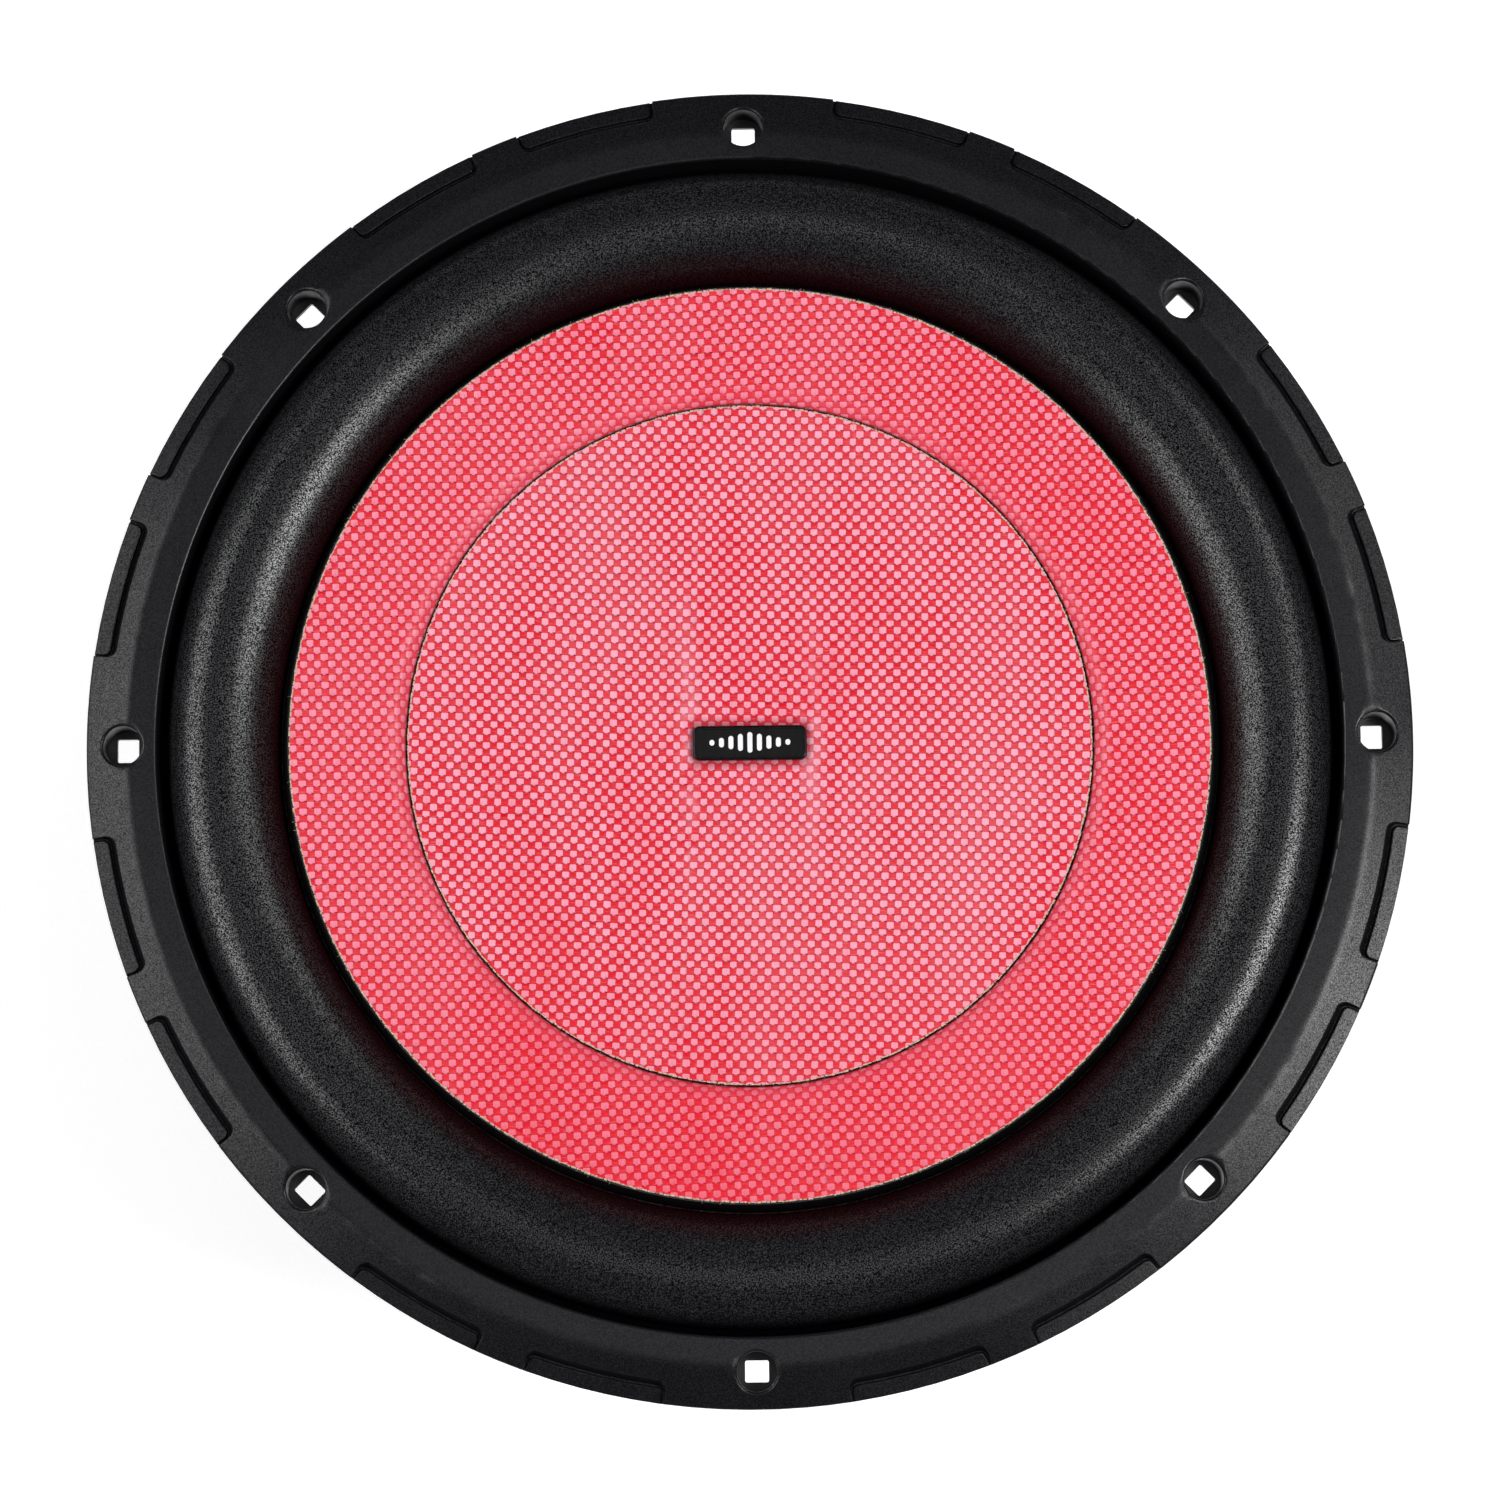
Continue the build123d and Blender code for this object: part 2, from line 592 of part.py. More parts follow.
def top_plate():
    """The steel ring round the coil, drilled for the rivets."""
    plate = tube(GAP_OUT_R, TOP_PLATE_R, MAGNET_Z, TOP_PLATE_Z)
    hole = Pos(RIVET_CIRCLE_R, 0, TOP_PLATE_Z - RIVET_DEPTH / 2) * Cylinder(RIVET_R, RIVET_DEPTH)
    return plate - around(hole, RIVET_COUNT)


def magnet(index):
    """One of the two ferrite rings, counted from the front, with broken edges."""
    top = MAGNET_Z - index * MAGNET_T
    ring = tube(MAGNET_HOLE_R, MAGNET_R, top - MAGNET_T, top)
    rims = ring.edges().filter_by(GeomType.CIRCLE).filter_by(lambda e: abs(e.radius - MAGNET_R) < 0.1)
    return chamfer(rims, MAGNET_EDGE)


def yoke():
    """The back plate and pole in one, with a flared vent through the pole."""
    return turned(
        [
            (VENT_R + VENT_FLARE, TOP_PLATE_Z),
            (POLE_R, TOP_PLATE_Z),
            (POLE_R, YOKE_Z),
            (YOKE_R, YOKE_Z),
            (YOKE_R, REAR_Z),
            (VENT_SEAT_R, REAR_Z),
            (VENT_SEAT_R, REAR_Z + SCREEN_T),
            (VENT_R + VENT_FLARE / 2, REAR_Z + SCREEN_T),
            (VENT_R, REAR_Z + SCREEN_T + VENT_FLARE),
            (VENT_R, TOP_PLATE_Z - VENT_FLARE),
        ]
    )


def vent_screen():
    """The perforated disc over the pole vent."""
    disc = Pos(0, 0, REAR_Z + SCREEN_T / 2) * Cylinder(VENT_SEAT_R, SCREEN_T)
    hole = Cylinder(SCREEN_HOLE_R, 4 * SCREEN_T)
    holes = [Pos(0, 0, REAR_Z) * hole]
    for row in range(1, SCREEN_ROWS + 1):
        holes += around(Pos(row * SCREEN_PITCH, 0, REAR_Z) * hole, 6 * row)
    return disc - holes


def magnet_boot():
    """The rubber cover round the magnets, lipped over the front magnet and the back plate."""
    rear, front = REAR_Z - BOOT_LIP_T, MAGNET_Z + BOOT_LIP_T
    boot = turned(
        [
            (BOOT_FRONT_LIP_R, MAGNET_Z),
            (MAGNET_R - MAGNET_EDGE, MAGNET_Z),
            (MAGNET_R, MAGNET_Z - MAGNET_EDGE),
            (MAGNET_R, YOKE_Z + MAGNET_EDGE),
            (MAGNET_R - MAGNET_EDGE, YOKE_Z),
            (YOKE_R, YOKE_Z),
            (YOKE_R, REAR_Z),
            (BOOT_REAR_LIP_R, REAR_Z),
            (BOOT_REAR_LIP_R, rear),
            (BOOT_R, rear),
            (BOOT_R, front),
            (BOOT_FRONT_LIP_R, front),
        ]
    )
    rims = boot.edges().filter_by(GeomType.CIRCLE).filter_by(lambda e: abs(e.radius - BOOT_R) < 0.1)
    boot = fillet(rims, BOOT_EDGE)
    groove = tube(BOOT_R - GROOVE_DEPTH, BOOT_R + 1, -GROOVE_WIDTH / 2, GROOVE_WIDTH / 2)
    lowest = MAGNET_Z - MAGNET_T - (GROOVE_COUNT - 1) / 2 * GROOVE_PITCH
    return boot - [Pos(0, 0, lowest + i * GROOVE_PITCH) * groove for i in range(GROOVE_COUNT)]


def basket_rivets():
    """The rivets that join the basket's floor to the top plate."""
    shank = Pos(0, 0, (CUP_FLOOR_Z + TOP_PLATE_Z - RIVET_DEPTH) / 2) * Cylinder(
        RIVET_R, CUP_FLOOR_Z - TOP_PLATE_Z + RIVET_DEPTH
    )
    head = Pos(0, 0, CUP_FLOOR_Z + RIVET_HEAD / 2) * Cylinder(RIVET_HEAD_R, RIVET_HEAD)
    head = fillet(head.edges().sort_by(Axis.Z)[-1], RIVET_DOME)
    return Compound(children=around(Pos(RIVET_CIRCLE_R, 0, 0) * (shank + head), RIVET_COUNT))


# ---------------------------------------------------------------- terminals, in the terminal frame


def along_x(radius, x_from, x_to, z):
    """A cylinder along the block."""
    middle, length = (x_from + x_to) / 2, abs(x_to - x_from)
    return Pos(middle, 0, z) * Rot(0, 90, 0) * Cylinder(radius, length)


def terminal_block():
    """The moulded block with two button bores, two wire holes and a screw hole."""
    block = Pos(0, 0, BLOCK_HEIGHT / 2) * Box(BLOCK_LENGTH, BLOCK_WIDTH, BLOCK_HEIGHT)
    block = fillet(block.edges().filter_by(Axis.Z), BLOCK_CORNER)
    block = fillet(block.faces().sort_by(Axis.Z)[-1].edges(), BLOCK_EDGE)
    depth = BLOCK_HEIGHT - BORE_FLOOR
    for side in (-1, 1):
        block -= Pos(side * BUTTON_X, 0, BORE_FLOOR + depth / 2) * Cylinder(BUTTON_BORE_R, depth)
        block -= along_x(WIRE_R, side * (BLOCK_LENGTH / 2 + 1), side * (CONTACT_X - CONTACT_T), WIRE_Z)
        pocket = Box(CONTACT_T, CONTACT_WIDTH, CONTACT_TOP)
        block -= Pos(side * (CONTACT_X + CONTACT_T / 2), 0, CONTACT_TOP / 2) * pocket
    return block - Cylinder(SCREW_R, 3 * BLOCK_HEIGHT)


def contact_strips():
    """The two plated strips that the wires press against and the leads are soldered to."""
    height = CONTACT_TOP - CONTACT_TAIL
    strips = []
    for side in (-1, 1):
        strip = Box(CONTACT_T, CONTACT_WIDTH, height)
        strip = Pos(side * (CONTACT_X + CONTACT_T / 2), 0, (CONTACT_TOP + CONTACT_TAIL) / 2) * strip
        strips.append(strip - along_x(WIRE_R, -BUTTON_X, BUTTON_X, WIRE_Z))
    return Compound(children=strips)


def button():
    """A push button: flat-sided shank with a wire hole across it, and a round cap."""
    cap_bottom = BLOCK_HEIGHT + BUTTON_TRAVEL + BUTTON_GAP
    shank_length = cap_bottom - BUTTON_FOOT_Z
    shank = Cylinder(BUTTON_SHANK_R, shank_length) & Box(2 * BUTTON_FLAT, 2 * BUTTON_SHANK_R, shank_length)
    shank = Pos(0, 0, BUTTON_FOOT_Z + shank_length / 2) * shank
    cap = Pos(0, 0, cap_bottom + BUTTON_CAP_T / 2) * Cylinder(BUTTON_CAP_R, BUTTON_CAP_T)
    cap = fillet(cap.edges().filter_by(GeomType.CIRCLE), BUTTON_EDGE)
    return shank + cap - along_x(WIRE_R, -BUTTON_X, BUTTON_X, WIRE_Z + BUTTON_TRAVEL)


def spring():
    """The coil spring under a button, at the length it has with the button out."""
    height = BUTTON_FOOT_Z - BORE_FLOOR - 2 * (SPRING_WIRE_R + SPRING_GAP)
    path = Helix(height / SPRING_TURNS, height, SPRING_R)
    section = Plane(origin=path @ 0, z_dir=path % 0) * Circle(SPRING_WIRE_R)
    return Pos(0, 0, BORE_FLOOR + SPRING_WIRE_R + SPRING_GAP) * sweep(section, path)


def terminal_screw():
    """The screw through the middle of a block."""
    length = BLOCK_HEIGHT + SHEET + SCREW_PAST_SHEET
    shank = Pos(0, 0, BLOCK_HEIGHT - length / 2) * Cylinder(SCREW_R, length)
    head = Pos(0, 0, BLOCK_HEIGHT + SCREW_HEAD / 2) * Cylinder(SCREW_HEAD_R, SCREW_HEAD)
    head = fillet(head.edges().sort_by(Axis.Z)[-1], SCREW_DOME)
    bar = Box(RECESS_LENGTH, RECESS_WIDTH, 2 * RECESS_DEPTH)
    recess = Pos(0, 0, BLOCK_HEIGHT + SCREW_HEAD) * (bar + Rot(0, 0, 90) * bar)
    return shank + head - recess


# ---------------------------------------------------------------- tinsel leads


def lead_ends():
    """(x, y) of each lead's middle at the collar: two on the right, two on the left."""
    y = CONTACT_X + LEAD_BESIDE_STRIP
    x = (COLLAR_OUT_R**2 - (y - LEAD_R) ** 2) ** 0.5 + LEAD_GAP
    return [(sign * x, side * y) for sign in (1, -1) for side in (1, -1)]


def lead_route(x, y):
    """Corners of one lead's route, from its contact strip, over the spider, to the collar."""
    tail = terminal_frame().from_local_coords((CONTACT_X + CONTACT_T / 2, 0, CONTACT_TAIL))
    inward = terminal_frame().z_dir * -1
    sign, side = (1 if x > 0 else -1), (1 if y > 0 else -1)
    start, rise = tail, tail + inward * LEAD_STRAIGHT
    end = Vector(abs(x), abs(y), LEAD_ANCHOR_Z)
    mids = [Vector(93, 6.5, -24.5), Vector(78, 8.2, -32), Vector(63, 8.4, -41.5), Vector(48, 7.2, -47)]
    route = [start, rise, *mids, end]
    return [Vector(sign * p.X, side * abs(p.Y), p.Z) for p in route]


def bend_radii(points):
    """The largest bend at each corner of a route that leaves its two runs room."""
    radii = []
    for a, b, c in zip(points, points[1:], points[2:]):
        into, out = b - a, c - b
        turn = radians(into.get_angle(out))
        radii.append(BEND_SHARE * min(into.length, out.length) / tan(turn / 2))
    return radii


def lead(x, y):
    """One woven tinsel lead, a tube along its route."""
    points = lead_route(x, y)
    path = FilletPolyline(*points, radius=bend_radii(points))
    section = Plane(origin=path @ 0, z_dir=path % 0) * Circle(LEAD_R)
    return sweep(section, path)


# ---------------------------------------------------------------- everything


def build():
    """Every sub-part by name, each where it sits with the cone at rest and the buttons out."""
    parts = {
        "basket": basket(),
        "trim_ring": trim_ring(),
        "surround": surround(),
        "spider": spider(),
        "cone_body": cone_body(),
        "cone_skin": cone_skin(),
        "edge_bead": edge_bead(),
        "dust_cap": dust_cap(),
        "cap_adhesive": cap_adhesive(),
        "badge_plate": badge_plate(),
        "badge_bars": badge_bars(),
        "voice_coil_former": voice_coil_former(),
        "voice_coil_inner_winding": winding(0),
        "voice_coil_outer_winding": winding(1),
        "former_collar": former_collar(),
        "lead_anchor_pads": lead_pads(),
        "top_plate": top_plate(),
        "front_magnet": magnet(0),
        "rear_magnet": magnet(1),
        "pole_yoke": yoke(),
        "vent_screen": vent_screen(),
        "magnet_boot": magnet_boot(),
        "basket_rivets": basket_rivets(),
    }
    for side, block in both_sides(terminal_block()).items():
        parts[f"terminal_block_{side}"] = block
    for side, strips in both_sides(contact_strips()).items():
        parts[f"contact_strips_{side}"] = strips
    for side, screw in both_sides(terminal_screw()).items():
        parts[f"terminal_screw_{side}"] = screw
    for colour, x in (("red", BUTTON_X), ("black", -BUTTON_X)):
        for side, placed in both_sides(Pos(x, 0, 0) * button()).items():
            parts[f"push_button_{colour}_{side}"] = placed
        for side, placed in both_sides(Pos(x, 0, 0) * spring()).items():
            parts[f"button_spring_{colour}_{side}"] = placed
    for number, (x, y) in enumerate(lead_ends(), 1):
        parts[f"tinsel_lead_{number}"] = lead(x, y)
    return parts


if __name__ == "__main__":
    os.makedirs("parts", exist_ok=True)
    for name, shape in build().items():
        export_step(shape, f"parts/{name}.step")
    print("lead bend radii", [round(r, 1) for r in bend_radii(lead_route(*lead_ends()[0]))])
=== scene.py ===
"""The looks of a car subwoofer driver that stands on its magnet with the cone up.

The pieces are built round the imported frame.

All sizes are metres. Z is the driver's axis, +Z faces the listener, and z = 0 is the steel flange's front.
"""

import json
import math
import random

import bpy
import numpy as np
from mathutils import Matrix, Vector


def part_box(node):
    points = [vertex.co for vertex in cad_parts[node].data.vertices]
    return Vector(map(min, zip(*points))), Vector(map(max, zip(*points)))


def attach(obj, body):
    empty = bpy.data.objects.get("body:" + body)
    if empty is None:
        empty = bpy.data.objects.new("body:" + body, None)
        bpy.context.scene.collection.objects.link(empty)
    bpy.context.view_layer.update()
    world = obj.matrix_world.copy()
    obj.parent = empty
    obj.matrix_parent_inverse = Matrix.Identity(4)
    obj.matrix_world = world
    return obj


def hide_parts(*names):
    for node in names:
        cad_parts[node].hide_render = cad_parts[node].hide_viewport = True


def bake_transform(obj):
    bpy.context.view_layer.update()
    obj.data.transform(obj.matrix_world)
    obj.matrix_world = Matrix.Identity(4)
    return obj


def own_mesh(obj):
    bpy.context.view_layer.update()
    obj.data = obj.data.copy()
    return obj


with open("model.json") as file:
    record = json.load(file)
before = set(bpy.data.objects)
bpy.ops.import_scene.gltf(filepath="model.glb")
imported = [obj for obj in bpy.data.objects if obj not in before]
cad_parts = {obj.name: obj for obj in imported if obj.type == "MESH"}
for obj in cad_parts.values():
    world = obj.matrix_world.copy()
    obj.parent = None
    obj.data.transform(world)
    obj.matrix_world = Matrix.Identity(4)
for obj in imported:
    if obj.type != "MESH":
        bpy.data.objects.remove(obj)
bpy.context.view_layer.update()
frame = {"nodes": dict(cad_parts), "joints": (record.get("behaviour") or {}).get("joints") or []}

# ---------------------------------------------------------------- sizes

RING_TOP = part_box("trim_ring")[1].z
RING_CREST_R = 0.1498  # where the ring's flat front turns into its bevel
REST_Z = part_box("magnet_boot")[0].z  # what the driver stands on
FLOOR_GAP = 0.00005

# Camera, fitted to the front plane of the trim ring
CAMERA_BACK, CAMERA_RISE = 0.1436, 1.0906
AIM_Y = -0.0029
CAMERA_ROLL = math.radians(0.65)
LENS, SENSOR = 109.8, 36.0

# Weave
TOW = 0.00171
TOW_HEIGHT = 0.00021
SHEET_T = 0.0006
WANDER, RIPPLE = 0.00022, 0.00012  # slow and quick sideways drift of the tows
TOW_SHIFT, CELL_SLACK = 0.00006, 0.00005  # random shift of a whole tow, and of one crossing
LOOSE_FIBRES = 150

# Cone facing
SKIN_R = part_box("cone_skin")[1].x
SKIN_EDGE_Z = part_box("cone_skin")[1].z
ANNULUS_SLOPE = math.radians(5.0)
SHOULDER_R, SHOULDER_RADIUS = 0.0880, 0.0060
SHOULDER_TURN = math.radians(68.0)

# Dust cap
CAP_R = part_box("dust_cap")[1].x
CAP_RIM_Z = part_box("dust_cap")[1].z
CAP_SAG = 0.0025

# Surround
LIP = 0.0016
LIP_IN_R = 0.1065
LIP_OUT_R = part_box("surround")[1].x
ROLL_IN_R, ROLL_OUT_R = 0.1136, 0.1414
ROLL_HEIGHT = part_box("surround")[1].z - LIP
CREST_SHIFT = 0.0018  # how far the roll's crest sits outside its middle

# Bead
CONE_RIM_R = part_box("cone_body")[1].x
BEAD_SWELL, BEAD_WAVE = 0.00055, 0.00003

# Spider
SPIDER_T = 0.0007
SPIDER_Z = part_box("basket")[1].z - 0.054
SPIDER_OUT_R, SPIDER_FLAT_R, NECK_R = 0.0880, 0.0830, 0.03275
SPIDER_ROLLS, SPIDER_ROLL_R = 13, 0.0018

# Coil, leads and springs
WINDING_PITCH, WINDING_T = 0.0005, 0.00065
LEAD_ROUTE = [
    (0.1106, 0.0044, -0.0312),
    (0.1054, 0.0044, -0.0251),
    (0.0930, 0.0065, -0.0245),
    (0.0780, 0.0082, -0.0320),
    (0.0630, 0.0084, -0.0415),
    (0.0480, 0.0072, -0.0470),
    (0.0326, 0.0065, -0.0482),
]
LEAD_R = 0.0011
SPRING_R, SPRING_WIRE_R, SPRING_TURNS = 0.0026, 0.00022, 3.5

ROUND = 288  # segments round the large rings


# ---------------------------------------------------------------- mesh helpers


def mesh_object(name, verts, faces, material=None, sharp=None):
    """A shown object made from points and faces, smooth except at edges sharper than an angle."""
    mesh = bpy.data.meshes.new(name)
    mesh.from_pydata([tuple(v) for v in verts], [], [tuple(f) for f in faces])
    mesh.validate()
    mesh.shade_smooth()
    if sharp:
        mesh.set_sharp_from_angle(angle=math.radians(sharp))
    piece = bpy.data.objects.new(name, mesh)
    bpy.context.scene.collection.objects.link(piece)
    if material:
        mesh.materials.append(material)
    return piece


def lathe(name, profile, material, segments=ROUND, sharp=35, ripple=None):
    """A closed (radius, height) profile swept round Z. ripple(angle, index) is added to each point."""
    verts, faces, count = [], [], len(profile)
    for s in range(segments):
        angle = 2 * math.pi * s / segments
        for i, (r, z) in enumerate(profile):
            dr, dz = ripple(angle, i) if ripple else (0, 0)
            verts.append(((r + dr) * math.cos(angle), (r + dr) * math.sin(angle), z + dz))
    for s in range(segments):
        here, there = s * count, (s + 1) % segments * count
        for i in range(count):
            j = (i + 1) % count
            faces.append((here + i, here + j, there + j, there + i))
    return mesh_object(name, verts, faces, material, sharp)


def tube_along(points, radius, sides=6, turn=0.0):
    """(verts, faces) of a closed tube along points, by parallel transport."""
    verts, faces = [], []
    side = None
    last = len(points) - 1
    for k, p in enumerate(points):
        ahead = (points[min(k + 1, last)] - points[max(k - 1, 0)]).normalized()
        if side is None:
            side = ahead.orthogonal().normalized()
        side = (side - ahead * side.dot(ahead)).normalized()
        other = ahead.cross(side)
        for s in range(sides):
            a = 2 * math.pi * s / sides + turn
            verts.append(p + (side * math.cos(a) + other * math.sin(a)) * radius)
    for k in range(last):
        for s in range(sides):
            t = (s + 1) % sides
            faces.append((k * sides + s, k * sides + t, (k + 1) * sides + t, (k + 1) * sides + s))
    faces.append(tuple(reversed(range(sides))))
    faces.append(tuple(range(last * sides, (last + 1) * sides)))
    return verts, faces


def joined(parts):
    """One (verts, faces) pair from several."""
    verts, faces = [], []
    for v, f in parts:
        start = len(verts)
        verts += v
        faces += [tuple(i + start for i in face) for face in f]
    return verts, faces


def place(piece, body, slot, *nodes):
    """Rides a piece on a body and hides the nodes that it stands for."""
    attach(piece, body)
    if nodes:
        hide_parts(*nodes)
    return piece


# ---------------------------------------------------------------- material helpers


SURFACE_INPUTS = {
    "color": "Base Color",
    "roughness": "Roughness",
    "metallic": "Metallic",
    "normal": "Normal",
    "specular": "Specular IOR Level",
    "coat": "Coat Weight",
    "coat_roughness": "Coat Roughness",
    "coat_normal": "Coat Normal",
    "glow": "Emission Strength",
    "glow_color": "Emission Color",
}


class Shader:
    """A node material, written as calls that return sockets."""

    def __init__(self, name):
        self.material = bpy.data.materials.new(name)
        self.material.use_nodes = True
        self.tree = self.material.node_tree
        self.tree.nodes.clear()
        self.surface = self.tree.nodes.new("ShaderNodeBsdfPrincipled")
        out = self.tree.nodes.new("ShaderNodeOutputMaterial")
        self.tree.links.new(self.surface.outputs[0], out.inputs["Surface"])
        self.coords = self.tree.nodes.new("ShaderNodeTexCoord").outputs["Object"]

    def put(self, socket, value):
        if isinstance(value, bpy.types.NodeSocket):
            self.tree.links.new(value, socket)
        elif isinstance(value, (tuple, list)) and socket.type == "RGBA" and len(value) == 3:
            socket.default_value = (*value, 1.0)
        else:
            socket.default_value = value

    def node(self, kind, out=0, settings=None, **inputs):
        made = self.tree.nodes.new("ShaderNode" + kind)
        for key, value in (settings or {}).items():
            setattr(made, key, value)
        for key, value in inputs.items():
            self.put(made.inputs[key], value)
        return made.outputs[out]

    def math(self, operation, a, b=0.0, c=0.0):
        made = self.tree.nodes.new("ShaderNodeMath")
        made.operation = operation
        for socket, value in zip(made.inputs, (a, b, c)):
            self.put(socket, value)
        return made.outputs[0]

    def times(self, a, b):
        return self.math("MULTIPLY", a, b)

    def plus(self, a, b):
        return self.math("ADD", a, b)

    def minus(self, a, b):
        return self.math("SUBTRACT", a, b)

    def size_of(self, a):
        return self.math("ABSOLUTE", a)

    def axis(self, index, vector=None):
        """One coordinate: 0, 1 or 2 for X, Y or Z."""
        return self.node("SeparateXYZ", index, Vector=self.coords if vector is None else vector)

    def radius(self):
        """Distance from the Z axis."""
        x, y = self.axis(0), self.axis(1)
        return self.math("SQRT", self.plus(self.times(x, x), self.times(y, y)))

    def scaled(self, factors, vector=None):
        """Coordinates multiplied by three factors."""
        made = self.tree.nodes.new("ShaderNodeVectorMath")
        made.operation = "MULTIPLY"
        self.put(made.inputs[0], self.coords if vector is None else vector)
        self.put(made.inputs[1], factors)
        return made.outputs[0]

    def noise(self, scale, detail=3.0, roughness=0.55, vector=None):
        return self.node("TexNoise", Vector=self.coords if vector is None else vector, Scale=scale,
                         Detail=detail, Roughness=roughness)

    def speckle(self, scale, vector=None):
        """Distance to the nearest of many scattered points, 0 to about 1."""
        return self.node("TexVoronoi", Vector=self.coords if vector is None else vector, Scale=scale)

    def ramp(self, value, low, high, to_low=0.0, to_high=1.0):
        made = self.tree.nodes.new("ShaderNodeMapRange")
        for socket, v in zip(made.inputs, (value, low, high, to_low, to_high)):
            self.put(socket, v)
        return made.outputs[0]

    def mix(self, share, a, b):
        made = self.tree.nodes.new("ShaderNodeMix")
        made.data_type = "RGBA"
        self.put(made.inputs[0], share)
        self.put(made.inputs[6], a)
        self.put(made.inputs[7], b)
        return made.outputs[2]

    def attribute(self, name, out="Fac"):
        made = self.tree.nodes.new("ShaderNodeAttribute")
        made.attribute_name = name
        return made.outputs[out]

    def bump(self, height, distance, strength=1.0, under=None):
        made = self.tree.nodes.new("ShaderNodeBump")
        self.put(made.inputs["Height"], height)
        self.put(made.inputs["Distance"], distance)
        self.put(made.inputs["Strength"], strength)
        if under is not None:
            self.put(made.inputs["Normal"], under)
        return made.outputs[0]

    def finish(self, **inputs):
        """Links the surface's inputs, given by short names, and returns the material."""
        for key, value in inputs.items():
            self.put(self.surface.inputs[SURFACE_INPUTS[key]], value)
        return self.material


def moulded(name, color, roughness, grain=2600.0, depth=0.00003, dust=0.004, specular=0.5):
    """A moulded rubber or plastic: fine grain, soft uneven sheen and a trace of dust."""
    s = Shader(name)
    fine = s.noise(grain, 2.0)
    broad = s.noise(45.0, 4.0)
    lighter = tuple(c + dust for c in color)
    tone = s.mix(s.ramp(s.plus(fine, broad), 0.85, 1.25), color, lighter)
    uneven = s.ramp(broad, 0.3, 0.7, roughness - 0.05, roughness + 0.06)
    return s.finish(color=tone, roughness=uneven, specular=specular, normal=s.bump(fine, depth))


def foam():
    """The surround: foam with a sparkling grain, painted shade that turns it black at its foot, and a
    painted red reflection of the cone beside the cone.
    """
    s = Shader("surround_foam")
    cells = s.speckle(2300.0)
    grain = s.noise(2900.0, 2.0, 0.6)
    broad = s.noise(30.0, 3.0)
    height = s.plus(s.times(cells, 0.5), grain)
    # Painted shade: near black colour and no sheen at the roll's outer foot, by the ring.
    lit = s.ramp(s.radius(), ROLL_OUT_R - 0.0022, ROLL_OUT_R - 0.0004, 1.0, 0.0)
    tone = s.mix(s.ramp(grain, 0.46, 0.63), (0.0022, 0.0022, 0.0028), (0.030, 0.030, 0.033))
    tone = s.mix(lit, (0.0015, 0.0015, 0.0017), tone)
    # Painted reflection of the red cone: the foam's colour is reddened, and its sheen lowered, beside the
    # cone.
    painted_cone_reflection = s.ramp(s.radius(), ROLL_IN_R + 0.0075, ROLL_IN_R + 0.0010)
    tone = s.mix(s.times(painted_cone_reflection, 0.85), tone, (0.014, 0.0006, 0.0014))
    lit = s.times(lit, s.minus(1.0, s.times(painted_cone_reflection, 0.35)))
    sparkle = s.ramp(grain, 0.45, 0.63, 0.02, 1.0)
    return s.finish(color=tone, roughness=s.ramp(broad, 0.3, 0.7, 0.27, 0.33),
                    specular=s.times(sparkle, lit), normal=s.bump(height, 0.00004, 0.7))


def ring_rubber():
    """The trim ring: satin on its flat front, and grained on the bevel and the pads."""
    s = Shader("ring_rubber")
    outer = s.ramp(s.radius(), RING_CREST_R - 0.0014, RING_CREST_R + 0.0016)
    fine = s.noise(2900.0, 3.0, 0.65)
    broad = s.noise(45.0, 4.0)
    high = s.mix(outer, (0.0120, 0.0120, 0.0145), (0.0130, 0.0132, 0.0150))
    tone = s.mix(s.ramp(fine, 0.42, 0.68), (0.0042, 0.0042, 0.0056), high)
    grit = s.ramp(fine, 0.38, 0.66, 0.08, 0.46)
    satin = s.ramp(fine, 0.36, 0.68, 0.26, 0.52)
    shine = s.plus(s.times(outer, grit), s.times(s.minus(1.0, outer), satin))
    depth = s.times(fine, s.plus(0.3, s.times(outer, 0.7)))
    off_crest = s.size_of(s.minus(s.radius(), RING_CREST_R))
    easing = s.ramp(off_crest, 0.0018, 0.0032, 0.0026, 0.0003)
    eased = s.node("Bevel", Radius=easing, settings={"samples": 8})
    return s.finish(color=tone, roughness=s.ramp(broad, 0.3, 0.7, 0.27, 0.34), specular=shine,
                    normal=s.bump(depth, 0.00003, 0.8, eased))


